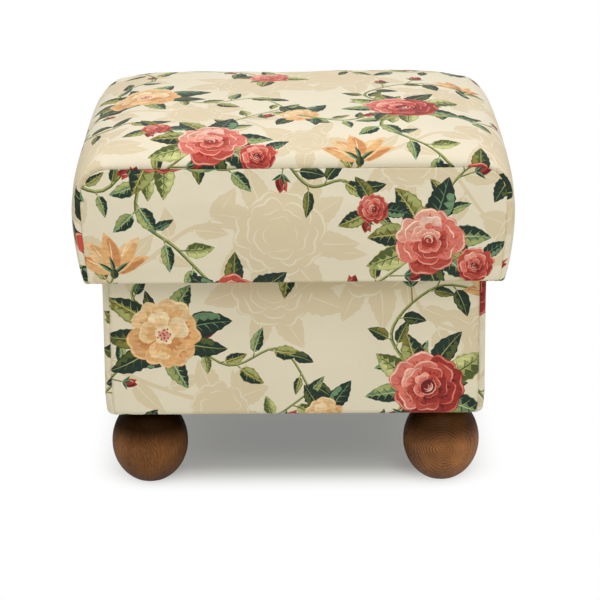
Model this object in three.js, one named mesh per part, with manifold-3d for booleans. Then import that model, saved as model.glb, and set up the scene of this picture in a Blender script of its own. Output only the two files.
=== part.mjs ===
// An upholstered footstool on four turned ball feet: a padded, lift-up lid over a storage box.
// Sizes are in millimetres. X runs to the right, the front faces -Y, and Z is up.
// The origin lies on the floor under the middle of the footstool.

import * as THREE from 'three';
import { mergeVertices } from 'three/addons/utils/BufferGeometryUtils.js';
import Module from 'manifold-3d';

const wasm = await Module();
wasm.setup();

// Driving sizes of the whole footstool
const boxWidth = 456;
const boxDepth = 380;
const boxHeight = 172.7;
const lidSideOverhang = 19;
const lidEndOverhang = 30;
const lidWallHeight = 140;
const legHeight = 98;

// The lid's seams, worked out from the box under it
const lidWidth = boxWidth + lidSideOverhang * 2;
const lidDepth = boxDepth + lidEndOverhang * 2;

// Clearance that pieces keep where they meet, and how far a cutter runs past what it cuts
const fit = 0.3;
const overrun = 5;

// Cloth and filling
const coverThickness = 1.6;
const dustClothThickness = 1.2;
const liningThickness = 1.6;
const boxWaddingThickness = 4;
const lidWaddingThickness = 8;

// Lid: how the filling swells the cover, and what stiffens it
const lidCrown = 34;
const lidSideSwell = 13;
const lidFaceSwell = 5;
const lidCornerRadius = 33;
const lidDrawIn = 7;
const lidFlangeWidth = 16;
const lidBoardThickness = 16;

// Box: the shape of its padded walls, and its timber
const boxCornerRadius = 9;
const boxLowerRoll = 9;
const boxRimRoll = 5;
const boxSideSwell = 3;
const boxFaceSwell = 3;
const boxSeamInset = 8;
const boxFlangeWidth = 14;
const baseBoardThickness = 18;
const panelThickness = 15;
const cornerBlockLeg = 34;
const cornerBlockTip = 4;
const rimTuckDepth = 20;
const liningDrop = 3;

// Feet, their bolts and the glides under them
const footSideInset = 50;
const footEndInset = 42;
const footRadius = 46.3;
const footTopRadius = 21.2;
const footBottomRadius = 20;
const glideRadius = 11;
const glideThickness = 3;
const glideEdge = 1;
const nailRadius = 1.4;
const nailLength = 14;
const boltRadius = 4;
const boltInFoot = 28;
const boltPoint = 5;
const boltChamfer = 0.8;
const nutFlangeRadius = 11;
const nutFlangeThickness = 1.5;
const nutBarrelRadius = 5.4;
const nutBarrelLength = 11;

// Butt hinges and their screws
const hingeSideInset = 103;
const hingeLength = 60;
const leafThickness = 1.5;
const leafEdgeMargin = 1.2;
const knuckleRadius = 2.75;
const knuckleCount = 5;
const pinRadius = 1.5;
const pinDome = 0.5;
const screwLength = 14;
const screwRadius = 1.6;
const screwHeadRadius = 3.2;
const screwHeadLand = 0.3;
const screwHeadDepth = 1.4;
const screwPoint = 3;
const screwSpacing = 20;
const screwsPerLeaf = 3;

// Facet counts
const footSides = 26;
const footArcSteps = 7;
const glideSides = 16;
const boltSides = 12;
const nutSides = 14;
const screwSides = 10;
const knuckleSides = 16;
const pinSides = 12;
const lidArcSteps = 6;
const lidFloorSteps = 4;
const innerArcSteps = 3;
const boxArcSteps = 2;
const boxWallSteps = 4;

// The coarser steps of the filling are every second or third one of the cover's.
// Where the lid's rings stand between its middle and its seam, as shares of half the depth
const lidDepthShares = [0, 0.4, 0.7, 0.87, 0.95, 0.988, 1];
const innerDepthShares = [0, 0.7, 0.95, 1];
// Where the points stand up a straight side wall, as shares of its height
const lidWallShares = [0, 0.12, 0.38, 0.7, 1];
const innerWallShares = [0, 0.38, 1];
// Where the points stand from the shoulder to the middle of the top, as shares of the way out from the middle
const lidTopShares = [0.93, 0.8, 0.5, 0];
const innerTopShares = [0.8, 0];
// Rings on a facing panel, as shares of its outline
const facingShares = [0.8, 0.45];
// Rings up the box's walls, as shares of the straight part
const boxLevelShares = [0, 0.2, 0.5, 0.8, 1];

// Shapes of the swelling: a share of the full swell at a share of the way to the seam
const sideRollPower = 3.8;
const sideRollSteepness = 0.3;
const crownRollPower = 3;
const crownRollSteepness = 0.45;
const lidLowSwellShare = 1.35;
const lidHighSwellShare = 0.9;
const crownFallShare = 0.25;
const crownFallPower = 8;

// How high a foot is widest, as a share of the height under the box
const footWaistShare = 0.51;

// Heights, worked out from the floor up
const boxBase = legHeight;
const baseBoardBottom = boxBase + coverThickness + fit;
const baseBoardTop = baseBoardBottom + baseBoardThickness;
const boxTop = boxBase + boxHeight;
const lidBase = boxTop + fit;
const hingeAxisHeight = lidBase - fit - knuckleRadius;
const rimPadThickness = knuckleRadius * 2;
const panelTop = boxTop - coverThickness - fit - rimPadThickness - fit;
const backRimTop = panelTop + fit + coverThickness;
const lidBoardBottom = lidBase + coverThickness + fit;
const lidBoardTop = lidBoardBottom + lidBoardThickness;

// Places in plan, worked out from the outside in
const boxSkinInset = coverThickness + fit + boxWaddingThickness + fit;
const woodHalfWidth = boxWidth / 2 - boxSkinInset;
const woodHalfDepth = boxDepth / 2 - boxSkinInset;
const innerHalfWidth = woodHalfWidth - panelThickness;
const innerHalfDepth = woodHalfDepth - panelThickness;
const wellHalfWidth = innerHalfWidth - fit - coverThickness;
const wellHalfDepth = innerHalfDepth - fit - coverThickness;
const seamHalfWidth = boxWidth / 2 - boxSeamInset;
const hingeAxisY = boxDepth / 2 + fit + knuckleRadius;
const screwY = woodHalfDepth - panelThickness / 2;
const leafInnerY = innerHalfDepth + leafEdgeMargin;
const lidSkinInset = coverThickness + fit + lidWaddingThickness;
const lidBoardHalfWidth = lidWidth / 2 - lidDrawIn - lidSkinInset - fit;
const lidBoardHalfDepth = lidDepth / 2 - lidSkinInset - fit;
const lidOpeningHalfWidth = lidWidth / 2 - lidDrawIn - lidFlangeWidth;
const lidOpeningHalfDepth = lidDepth / 2 - lidFlangeWidth;
const undersideHalfWidth = boxWidth / 2 - boxLowerRoll - boxFlangeWidth;
const undersideHalfDepth = boxDepth / 2 - boxLowerRoll - boxFlangeWidth;

const group = new THREE.Group();

// Materials

const finishes = {
  print: { color: 0xe4d9bd, roughness: 0.9, metalness: 0 },
  lining: { color: 0xcfc4a6, roughness: 0.95, metalness: 0 },
  dustCloth: { color: 0x26241f, roughness: 0.95, metalness: 0 },
  filling: { color: 0xf2efe6, roughness: 1, metalness: 0 },
  board: { color: 0xc9a877, roughness: 0.75, metalness: 0 },
  stained: { color: 0x6f4322, roughness: 0.4, metalness: 0 },
  steel: { color: 0xa9a9a6, roughness: 0.35, metalness: 0.9 },
  nylon: { color: 0xd8d6cf, roughness: 0.55, metalness: 0 },
};

function addPiece(name, geometry, finish) {
  const mesh = new THREE.Mesh(geometry, new THREE.MeshStandardMaterial(finishes[finish]));
  mesh.name = name;
  group.add(mesh);
}

// Solids

function toSolid(geometry) {
  const bare = geometry.clone();
  for (const attribute of Object.keys(bare.attributes)) {
    if (attribute !== 'position') bare.deleteAttribute(attribute);
  }
  const welded = mergeVertices(bare);
  const mesh = new wasm.Mesh({
    numProp: 3,
    vertProperties: new Float32Array(welded.attributes.position.array),
    triVerts: new Uint32Array(welded.index.array),
  });
  return new wasm.Manifold(mesh);
}

function toGeometry(solid) {
  const mesh = solid.getMesh();
  const geometry = new THREE.BufferGeometry();
  geometry.setAttribute('position', new THREE.BufferAttribute(mesh.vertProperties, 3));
  geometry.setIndex(new THREE.BufferAttribute(mesh.triVerts, 1));
  geometry.computeVertexNormals();
  return geometry;
}

// A block between two opposite corners
function block(low, high) {
  const size = high.map((value, axis) => value - low[axis]);
  const geometry = new THREE.BoxGeometry(...size);
  geometry.translate(...size.map((value, axis) => low[axis] + value / 2));
  return toSolid(geometry);
}

// A block centred on the Z axis
function centredBlock(halfWidth, halfDepth, bottom, top) {
  return block([-halfWidth, -halfDepth, bottom], [halfWidth, halfDepth, top]);
}

// A turned shape about the Z axis, from [radius, height] pairs that start and end on the axis
function turned(profile, sides) {
  const geometry = new THREE.LatheGeometry(profile.map(([r, z]) => new THREE.Vector2(r, z)), sides);
  geometry.rotateX(Math.PI / 2);
  return toSolid(geometry);
}

// Whether the fourth corner of a patch lies outside the plane of the first three
function liesOutside(first, second, third, fourth) {
  const normal = new THREE.Plane().setFromCoplanarPoints(first, second, third);
  return normal.distanceToPoint(fourth) > 0;
}

// A solid through a row of rings of equal length, closed by a fan at each end.
// Each patch is folded along the diagonal that makes it bulge outwards.
function lofted(rings) {
  const count = rings[0].length;
  const points = rings.flat();
  const middles = [rings[0], rings[rings.length - 1]].map((ring) => {
    const middle = new THREE.Vector3();
    for (const point of ring) middle.addScaledVector(point, 1 / count);
    return middle;
  });
  const positions = [...points, ...middles].flatMap((point) => point.toArray());
  const firstMiddle = rings.length * count;
  const lastRing = (rings.length - 1) * count;
  const index = [];
  for (let step = 0; step < count; step += 1) {
    const next = (step + 1) % count;
    for (let ring = 0; ring < rings.length - 1; ring += 1) {
      const here = ring * count;
      const there = here + count;
      const patch = [here + step, here + next, there + next, there + step];
      const [a, b, c, d] = patch;
      if (liesOutside(...patch.map((place) => points[place]))) index.push(a, b, d, b, c, d);
      else index.push(a, b, c, a, c, d);
    }
    index.push(firstMiddle, next, step);
    index.push(firstMiddle + 1, lastRing + step, lastRing + next);
  }
  const geometry = new THREE.BufferGeometry();
  geometry.setAttribute('position', new THREE.Float32BufferAttribute(positions, 3));
  geometry.setIndex(index);
  return toSolid(geometry);
}

// The lid's padded form

function rollShare(share, power, steepness) {
  return Math.max(0, 1 - Math.abs(share) ** power) ** steepness;
}

// One upright section of the lid across X, at a share of the way from the middle to a seam
function lidSection(depthShare, inset, bottom, steps) {
  const sideSwell = lidSideSwell * rollShare(depthShare, sideRollPower, sideRollSteepness);
  const crown = lidCrown * rollShare(depthShare, crownRollPower, crownRollSteepness);
  const halfWidth = lidWidth / 2 - inset;
  const top = lidBase + lidWallHeight - inset;
  const radius = lidCornerRadius - inset;
  const shoulder = top - radius;
  const flatHalf = halfWidth - radius;
  const edgeSwell = sideSwell * lidHighSwellShare;
  const edgeCrown = crown * (1 - crownFallShare);
  const half = [];
  for (const share of steps.wallShares) {
    const z = bottom + (shoulder - bottom) * share;
    const rise = Math.max(0, (z - lidBase) / (shoulder - lidBase));
    const fullness = lidLowSwellShare + (lidHighSwellShare - lidLowSwellShare) * rise;
    half.push([halfWidth - lidDrawIn * (1 - rise) ** 2 + sideSwell * fullness, z]);
  }
  for (let step = 1; step <= steps.arc; step += 1) {
    const angle = step / steps.arc * Math.PI / 2;
    const swell = edgeSwell * Math.cos(angle) ** 2 + edgeCrown * Math.sin(angle) ** 2;
    const reach = radius + swell;
    half.push([flatHalf + reach * Math.cos(angle), shoulder + reach * Math.sin(angle)]);
  }
  for (const share of steps.topShares) {
    const fall = crownFallShare * share ** crownFallPower;
    half.push([flatHalf * share, top + crown * (1 - fall)]);
  }
  const mirrored = half.slice(0, -1).reverse().map(([x, z]) => [-x, z]);
  const floorHalf = half[0][0];
  const floor = [];
  for (let step = 1; step < steps.floor; step += 1) {
    floor.push([floorHalf * (step / steps.floor * 2 - 1), bottom]);
  }
  return [...half, ...mirrored, ...floor];
}

// The lid's form drawn in by an inset, with its flat underside at the height given
function lidForm(inset, bottom, steps) {
  const halfDepth = lidDepth / 2 - inset;
  const middle = (bottom + lidBase + lidWallHeight - inset) / 2;
  const rings = [];
  const addRing = (section, y, spread) => {
    rings.push(section.map(([x, z]) => new THREE.Vector3(x * spread, y, middle + (z - middle) * spread)));
  };
  const seamSection = lidSection(1, inset, bottom, steps);
  for (const spread of [...steps.facingShares].reverse()) {
    addRing(seamSection, -halfDepth - lidFaceSwell * (1 - spread ** 2), spread);
  }
  const stations = [...steps.depthShares.slice(1).reverse().map((share) => -share), ...steps.depthShares];
  for (const share of stations) {
    addRing(lidSection(share, inset, bottom, steps), halfDepth * share, 1);
  }
  for (const spread of steps.facingShares) {
    addRing(seamSection, halfDepth + lidFaceSwell * (1 - spread ** 2), spread);
  }
  return lofted(rings.reverse());
}

const coverSteps = {
  wallShares: lidWallShares,
  topShares: lidTopShares,
  depthShares: lidDepthShares,
  facingShares,
  arc: lidArcSteps,
  floor: lidFloorSteps,
};
const fillingSteps = {
  wallShares: innerWallShares,
  topShares: innerTopShares,
  depthShares: innerDepthShares,
  facingShares: facingShares.slice(1),
  arc: innerArcSteps,
  floor: lidFloorSteps,
};

// The box's padded form

// One level ring of the box, with its corners rounded
function boxRing(halfWidth, halfDepth, radius, z) {
  const points = [];
  const corners = [[1, 1, 0], [-1, 1, 1], [-1, -1, 2], [1, -1, 3]];
  for (const [signX, signY, quarter] of corners) {
    for (let step = 0; step <= boxArcSteps; step += 1) {
      const angle = (quarter + step / boxArcSteps) * Math.PI / 2;
      const x = signX * (halfWidth - radius) + radius * Math.cos(angle);
      const y = signY * (halfDepth - radius) + radius * Math.sin(angle);
      points.push(new THREE.Vector3(x, y, z));
    }
  }
  return points;
}

// Points set along the straight sides of a ring, so that a wall can swell between its corners
function bowedRing(ring, swellX, swellY) {
  const points = [];
  ring.forEach((point, place) => {
    points.push(point);
    const next = ring[(place + 1) % ring.length];
    if ((place + 1) % (boxArcSteps + 1) !== 0) return;
    const alongX = Math.abs(next.x - point.x) > Math.abs(next.y - point.y);
    for (let step = 1; step < boxWallSteps; step += 1) {
      const between = point.clone().lerp(next, step / boxWallSteps);
      const bow = Math.sin(step / boxWallSteps * Math.PI);
      if (alongX) between.y += Math.sign(between.y) * swellY * bow;
      else between.x += Math.sign(between.x) * swellX * bow;
      points.push(between);
    }
  });
  return points;
}

// The box's form drawn in by an inset, between two heights
function boxForm(inset, bottom, top) {
  const halfWidth = boxWidth / 2 - inset;
  const halfDepth = boxDepth / 2 - inset;
  const radius = boxCornerRadius - inset;
  const lower = boxLowerRoll - inset;
  const upper = Math.max(boxRimRoll - inset, fit);
  const rings = [];
  const addRing = (drawnIn, z) => {
    const rise = (z - boxBase) / boxHeight;
    const swell = Math.sin(Math.min(Math.max(rise, 0), 1) * Math.PI);
    const ring = boxRing(halfWidth - drawnIn, halfDepth - drawnIn, radius, z);
    rings.push(bowedRing(ring, boxSideSwell * swell, boxFaceSwell * swell));
  };
  const half = Math.SQRT1_2;
  addRing(lower, bottom);
  addRing(lower * (1 - half), bottom + lower * (1 - half));
  for (const share of boxLevelShares) {
    addRing(0, bottom + lower + (top - upper - bottom - lower) * share);
  }
  addRing(upper * (1 - half), top - upper * (1 - half));
  addRing(upper, top);
  return lofted(rings);
}

// Places that repeat

const corners = [
  { name: 'front_left', signX: -1, signY: -1 },
  { name: 'front_right', signX: 1, signY: -1 },
  { name: 'rear_left', signX: -1, signY: 1 },
  { name: 'rear_right', signX: 1, signY: 1 },
];
const hinges = [
  { name: 'left', x: -boxWidth / 2 + hingeSideInset },
  { name: 'right', x: boxWidth / 2 - hingeSideInset },
];
const screwShifts = [];
for (let place = 0; place < screwsPerLeaf; place += 1) {
  screwShifts.push((place - (screwsPerLeaf - 1) / 2) * screwSpacing);
}

function footPlace(corner) {
  return [corner.signX * (boxWidth / 2 - footSideInset), corner.signY * (boxDepth / 2 - footEndInset), 0];
}

// Feet

const footBottom = glideThickness + fit;
const footTop = boxBase - fit;
const boltBottom = footTop - boltInFoot;
const boltTop = baseBoardTop - fit;
const nailTop = footBottom + nailLength;
const footWaist = legHeight * footWaistShare;

// A ball foot: two part ellipses that meet at its widest and end in small flats
function footProfile() {
  const profile = [[0, nailTop + fit], [nailRadius + fit, nailTop + fit], [nailRadius + fit, footBottom]];
  const lowest = Math.acos(footBottomRadius / footRadius);
  const highest = Math.acos(footTopRadius / footRadius);
  for (let step = 0; step < footArcSteps; step += 1) {
    const angle = lowest * (1 - step / footArcSteps);
    const fall = (footWaist - footBottom) * Math.sin(angle) / Math.sin(lowest);
    profile.push([footRadius * Math.cos(angle), footWaist - fall]);
  }
  for (let step = 0; step <= footArcSteps; step += 1) {
    const angle = highest * step / footArcSteps;
    const rise = (footTop - footWaist) * Math.sin(angle) / Math.sin(highest);
    profile.push([footRadius * Math.cos(angle), footWaist + rise]);
  }
  profile.push([boltRadius + fit, footTop], [boltRadius + fit, boltBottom - fit], [0, boltBottom - fit]);
  return profile;
}

function glideProfile() {
  return [
    [0, 0],
    [glideRadius - glideEdge, 0],
    [glideRadius, glideEdge],
    [glideRadius, glideThickness],
    [nailRadius, glideThickness],
    [nailRadius, nailTop - nailRadius * 2],
    [0, nailTop],
  ];
}

function boltProfile() {
  return [
    [0, boltBottom],
    [boltRadius, boltBottom + boltPoint],
    [boltRadius, boltTop - boltChamfer],
    [boltRadius - boltChamfer, boltTop],
    [0, boltTop],
  ];
}

// A tee nut, whose flange lies flush in the top of the base board
function teeNut() {
  const flangeBottom = baseBoardTop - nutFlangeThickness;
  const barrelBottom = baseBoardTop - nutBarrelLength;
  const outer = turned([
    [0, barrelBottom],
    [nutBarrelRadius, barrelBottom],
    [nutBarrelRadius, flangeBottom],
    [nutFlangeRadius, flangeBottom],
    [nutFlangeRadius, baseBoardTop],
    [0, baseBoardTop],
  ], nutSides);
  return outer.subtract(teeNutBore());
}

function teeNutBore() {
  const radius = boltRadius + fit;
  const bottom = boxBase - overrun;
  const top = baseBoardTop + overrun;
  return turned([[0, bottom], [radius, bottom], [radius, top], [0, top]], nutSides);
}

// The stepped hole that a tee nut and its bolt need in the base board
function teeNutSeat() {
  const flangeSeat = baseBoardTop - nutFlangeThickness - fit;
  const barrelSeat = baseBoardTop - nutBarrelLength - fit;
  const seat = turned([
    [0, barrelSeat],
    [nutBarrelRadius + fit, barrelSeat],
    [nutBarrelRadius + fit, flangeSeat],
    [nutFlangeRadius + fit, flangeSeat],
    [nutFlangeRadius + fit, baseBoardTop + overrun],
    [0, baseBoardTop + overrun],
  ], nutSides);
  return seat.add(teeNutBore());
}

function addFeet() {
  const foot = turned(footProfile(), footSides);
  const glide = turned(glideProfile(), glideSides);
  const bolt = turned(boltProfile(), boltSides);
  const nut = teeNut();
  for (const corner of corners) {
    const place = footPlace(corner);
    addPiece(`foot_${corner.name}`, toGeometry(foot.translate(place)), 'stained');
    addPiece(`glide_${corner.name}`, toGeometry(glide.translate(place)), 'nylon');
    addPiece(`hanger_bolt_${corner.name}`, toGeometry(bolt.translate(place)), 'steel');
    addPiece(`tee_nut_${corner.name}`, toGeometry(nut.translate(place)), 'steel');
  }
}

// Screws and hinges

// A countersunk screw that points down, with the flat of its head at the height given
function screw(headHeight) {
  return turned([
    [0, headHeight - screwLength],
    [screwRadius, headHeight - screwLength + screwPoint],
    [screwRadius, headHeight - screwHeadDepth],
    [screwHeadRadius, headHeight - screwHeadLand],
    [screwHeadRadius, headHeight],
    [0, headHeight],
  ], screwSides);
}

// The room for that screw, wider by the clearance all round
function screwRoom(headHeight) {
  const top = headHeight + overrun;
  const bottom = headHeight - screwLength - fit;
  return turned([
    [0, bottom],
    [screwRadius + fit, bottom],
    [screwRadius + fit, headHeight - screwHeadDepth],
    [screwHeadRadius + fit, headHeight - screwHeadLand],
    [screwHeadRadius + fit, top],
    [0, top],
  ], screwSides);
}

const boxScrewHeight = hingeAxisHeight - knuckleRadius + leafThickness;
const lidScrewHeight = hingeAxisHeight + knuckleRadius - leafThickness;

// Turns a shape that points down from the box leaf into one that points up from the lid leaf
function turnedOver(solid) {
  return solid.rotate([180, 0, 0]).translate([0, 0, boxScrewHeight + lidScrewHeight]);
}

// Everything that the screws of one leaf need cut away, for both hinges
function screwRooms(room) {
  const rooms = [];
  for (const hinge of hinges) {
    for (const shift of screwShifts) rooms.push(room.translate([hinge.x + shift, screwY, 0]));
  }
  return rooms.reduce((all, next) => all.add(next));
}

// A rod along X about the hinge axis, between two places
function axisRod(radius, from, to, sides) {
  const geometry = new THREE.CylinderGeometry(radius, radius, to - from, sides);
  geometry.rotateZ(Math.PI / 2);
  geometry.translate((from + to) / 2, hingeAxisY, hingeAxisHeight);
  return toSolid(geometry);
}

// The box leaf lies under the axis and holds the odd knuckles
function hingeLeaf(isLidLeaf) {
  const plateBottom = isLidLeaf ? hingeAxisHeight + knuckleRadius - leafThickness : hingeAxisHeight - knuckleRadius;
  const plateTop = plateBottom + leafThickness;
  const plateEdge = hingeAxisY - knuckleRadius - fit;
  const half = hingeLength / 2;
  let leaf = block([-half, leafInnerY, plateBottom], [half, plateEdge, plateTop]);
  const pitch = hingeLength / knuckleCount;
  for (let place = isLidLeaf ? 1 : 0; place < knuckleCount; place += 2) {
    const from = -half + place * pitch + (place > 0 ? fit / 2 : 0);
    const to = -half + (place + 1) * pitch - (place < knuckleCount - 1 ? fit / 2 : 0);
    const bridge = block([from, plateEdge - leafThickness, plateBottom], [to, hingeAxisY, plateTop]);
    leaf = leaf.add(bridge).add(axisRod(knuckleRadius, from, to, knuckleSides));
  }
  leaf = leaf.subtract(axisRod(pinRadius + fit, -half - overrun, half + overrun, knuckleSides));
  const down = screwRoom(boxScrewHeight);
  const room = isLidLeaf ? turnedOver(down) : down;
  for (const shift of screwShifts) leaf = leaf.subtract(room.translate([shift, screwY, 0]));
  return leaf;
}

function hingePin() {
  const half = hingeLength / 2;
  const profile = [[0, -half], [pinRadius - pinDome, -half], [pinRadius, -half + pinDome]];
  const far = profile.slice().reverse().map(([r, z]) => [r, -z]);
  return turned([...profile, ...far], pinSides)
    .rotate([0, 90, 0])
    .translate([0, hingeAxisY, hingeAxisHeight]);
}

function addHinges() {
  const boxLeaf = hingeLeaf(false);
  const lidLeaf = hingeLeaf(true);
  const pin = hingePin();
  const boxScrew = screw(boxScrewHeight);
  const lidScrew = turnedOver(boxScrew);
  for (const hinge of hinges) {
    const place = [hinge.x, 0, 0];
    addPiece(`hinge_${hinge.name}_box_leaf`, toGeometry(boxLeaf.translate(place)), 'steel');
    addPiece(`hinge_${hinge.name}_lid_leaf`, toGeometry(lidLeaf.translate(place)), 'steel');
    addPiece(`hinge_${hinge.name}_pin`, toGeometry(pin.translate(place)), 'steel');
    screwShifts.forEach((shift, number) => {
      const screwPlace = [hinge.x + shift, screwY, 0];
      const ending = `${hinge.name}_${number + 1}`;
      addPiece(`box_screw_${ending}`, toGeometry(boxScrew.translate(screwPlace)), 'steel');
      addPiece(`lid_screw_${ending}`, toGeometry(lidScrew.translate(screwPlace)), 'steel');
    });
  }
}

// Timber of the box

function addBoxTimber() {
  const skin = coverThickness + fit;
  let base = centredBlock(woodHalfWidth, woodHalfDepth, baseBoardBottom, baseBoardTop)
    .intersect(boxForm(skin, boxBase + skin, boxTop - skin));
  const seat = teeNutSeat();
  for (const corner of corners) base = base.subtract(seat.translate(footPlace(corner)));
  addPiece('base_board', toGeometry(base), 'board');

  const bottom = baseBoardTop + fit;
  const front = block([-woodHalfWidth, -woodHalfDepth, bottom], [woodHalfWidth, -innerHalfDepth, panelTop]);
  const back = block([-woodHalfWidth, innerHalfDepth, bottom], [woodHalfWidth, woodHalfDepth, panelTop])
    .subtract(screwRooms(screwRoom(boxScrewHeight)));
  const sideHalf = innerHalfDepth - fit;
  const right = block([innerHalfWidth, -sideHalf, bottom], [woodHalfWidth, sideHalf, panelTop]);
  addPiece('front_panel', toGeometry(front), 'board');
  addPiece('back_panel', toGeometry(back), 'board');
  addPiece('left_panel', toGeometry(right.mirror([1, 0, 0])), 'board');
  addPiece('right_panel', toGeometry(right), 'board');

  const blockTop = panelTop - rimTuckDepth - fit;
  const outline = [
    [0, 0],
    [cornerBlockLeg, 0],
    [cornerBlockLeg, cornerBlockTip],
    [cornerBlockTip, cornerBlockLeg],
    [0, cornerBlockLeg],
  ];
  const shape = new THREE.Shape(outline.map(([x, y]) => new THREE.Vector2(x, y)));
  const corner = new THREE.ExtrudeGeometry(shape, { depth: blockTop - bottom, bevelEnabled: false });
  corner.translate(-innerHalfWidth + fit, -innerHalfDepth + fit, bottom);
  const cornerBlock = toSolid(corner);
  for (const { name, signX, signY } of corners) {
    let placed = cornerBlock;
    if (signX > 0) placed = placed.mirror([1, 0, 0]);
    if (signY > 0) placed = placed.mirror([0, 1, 0]);
    addPiece(`corner_block_${name}`, toGeometry(placed), 'board');
  }
}

// Wadding and cover of the box

function addBoxWadding() {
  const skin = coverThickness + fit;
  const outer = boxForm(skin, boxBase + skin, boxTop - skin);
  const timber = centredBlock(woodHalfWidth + fit, woodHalfDepth + fit, boxBase - overrun, panelTop + fit);
  const well = centredBlock(innerHalfWidth, innerHalfDepth, boxBase, boxTop + overrun);
  const far = boxDepth / 2 + boxFaceSwell + overrun;
  const backRim = block([-boxWidth, wellHalfDepth - fit, panelTop], [boxWidth, far, boxTop + overrun]);
  const below = centredBlock(boxWidth, boxDepth, boxBase - overrun, baseBoardBottom);
  const ring = outer.subtract(timber).subtract(well).subtract(backRim).subtract(below);
  addPiece('box_wadding', toGeometry(ring), 'filling');
}

// The whole cover of the box before it is parted at its seams
function boxCoverShell() {
  const cavity = boxForm(coverThickness, boxBase + coverThickness, boxTop - coverThickness);
  const tuckOuter = centredBlock(innerHalfWidth - fit, innerHalfDepth - fit, boxBase, boxTop + overrun);
  const well = centredBlock(wellHalfWidth, wellHalfDepth, boxBase, boxTop + overrun);
  const underside = centredBlock(undersideHalfWidth, undersideHalfDepth, boxBase - overrun, boxBase + overrun);
  const hem = panelTop - rimTuckDepth;
  const belowHem = centredBlock(innerHalfWidth, innerHalfDepth, boxBase + coverThickness, hem);
  const far = boxDepth / 2 + boxFaceSwell + overrun;
  const backRim = block([-boxWidth, wellHalfDepth, backRimTop], [boxWidth, far, boxTop + overrun]);
  const backEdge = boxForm(0, boxBase, boxTop).intersect(
    block([-boxWidth, wellHalfDepth, panelTop + fit], [boxWidth, far, backRimTop]),
  );
  return boxForm(0, boxBase, boxTop)
    .subtract(cavity.subtract(tuckOuter))
    .subtract(well)
    .subtract(belowHem)
    .subtract(underside)
    .subtract(backRim)
    .add(backEdge)
    .subtract(screwRooms(screwRoom(boxScrewHeight)));
}

function addBoxCover() {
  const shell = boxCoverShell();
  const top = boxTop + overrun;
  const bottom = boxBase - overrun;
  const far = boxDepth;
  const frontPatch = (margin) => block(
    [-seamHalfWidth - margin, -far, bottom],
    [seamHalfWidth + margin, -wellHalfDepth + margin, top],
  );
  const backPatch = (margin) => frontPatch(margin).mirror([0, 1, 0]);
  const sides = shell.subtract(frontPatch(fit)).subtract(backPatch(fit));
  const rightHalf = block([0, -far, bottom], [boxWidth, far, top]);
  addPiece('box_cover_front', toGeometry(shell.intersect(frontPatch(0))), 'print');
  addPiece('box_cover_back', toGeometry(shell.intersect(backPatch(0))), 'print');
  addPiece('box_cover_right', toGeometry(sides.intersect(rightHalf)), 'print');
  addPiece('box_cover_left', toGeometry(sides.intersect(rightHalf.mirror([1, 0, 0]))), 'print');
}

// The lining is an open tub, whose corners pass the corner blocks
function chamferedPrism(halfWidth, halfDepth, cut, bottom, top) {
  const outline = [
    [halfWidth, -halfDepth + cut],
    [halfWidth, halfDepth - cut],
    [halfWidth - cut, halfDepth],
    [-halfWidth + cut, halfDepth],
    [-halfWidth, halfDepth - cut],
    [-halfWidth, -halfDepth + cut],
    [-halfWidth + cut, -halfDepth],
    [halfWidth - cut, -halfDepth],
  ];
  const shape = new THREE.Shape(outline.map(([x, y]) => new THREE.Vector2(x, y)));
  const geometry = new THREE.ExtrudeGeometry(shape, { depth: top - bottom, bevelEnabled: false });
  geometry.translate(0, 0, bottom);
  return toSolid(geometry);
}

function addStorageLining() {
  const bottom = baseBoardTop + fit;
  const top = panelTop - liningDrop;
  const halfWidth = wellHalfWidth - fit;
  const halfDepth = wellHalfDepth - fit;
  const cut = cornerBlockLeg + cornerBlockTip;
  const outer = chamferedPrism(halfWidth, halfDepth, cut, bottom, top);
  const hollow = chamferedPrism(
    halfWidth - liningThickness,
    halfDepth - liningThickness,
    cut - liningThickness * (2 - Math.SQRT2),
    bottom + liningThickness,
    top + overrun,
  );
  addPiece('storage_lining', toGeometry(outer.subtract(hollow)), 'lining');
}

function addDustCloth() {
  let cloth = centredBlock(
    undersideHalfWidth - fit,
    undersideHalfDepth - fit,
    boxBase,
    boxBase + dustClothThickness,
  );
  for (const corner of corners) cloth = cloth.subtract(teeNutBore().translate(footPlace(corner)));
  addPiece('dust_cloth', toGeometry(cloth), 'dustCloth');
}

// Lid

function addLidFilling() {
  const screws = screwRooms(turnedOver(screwRoom(boxScrewHeight)));
  const board = centredBlock(lidBoardHalfWidth, lidBoardHalfDepth, lidBoardBottom, lidBoardTop);
  addPiece('lid_board', toGeometry(board.subtract(screws)), 'board');

  const outer = lidForm(coverThickness + fit, lidBoardBottom, fillingSteps);
  const hollow = lidForm(lidSkinInset, lidBase, fillingSteps);
  addPiece('lid_wadding', toGeometry(outer.subtract(hollow)), 'filling');

  const below = centredBlock(lidWidth, lidDepth, lidBase - overrun, lidBoardTop + fit);
  const foam = lidForm(lidSkinInset + fit, lidBase, fillingSteps).subtract(below);
  addPiece('lid_foam', toGeometry(foam), 'filling');
}

// The underside flange that belongs to the front facing: a strip that is mitred at both ends
function facingFlange(margin) {
  const seamY = -lidDepth / 2 - lidFaceSwell - overrun;
  const reach = lidFlangeWidth + lidFaceSwell + overrun + margin;
  const half = lidWidth / 2 + margin;
  const outline = [[-half, seamY], [half, seamY], [half - reach, seamY + reach], [-half + reach, seamY + reach]];
  const shape = new THREE.Shape(outline.map(([x, y]) => new THREE.Vector2(x, y)));
  const depth = coverThickness + overrun;
  const geometry = new THREE.ExtrudeGeometry(shape, { depth, bevelEnabled: false });
  geometry.translate(0, 0, lidBase - overrun);
  return toSolid(geometry);
}

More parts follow.
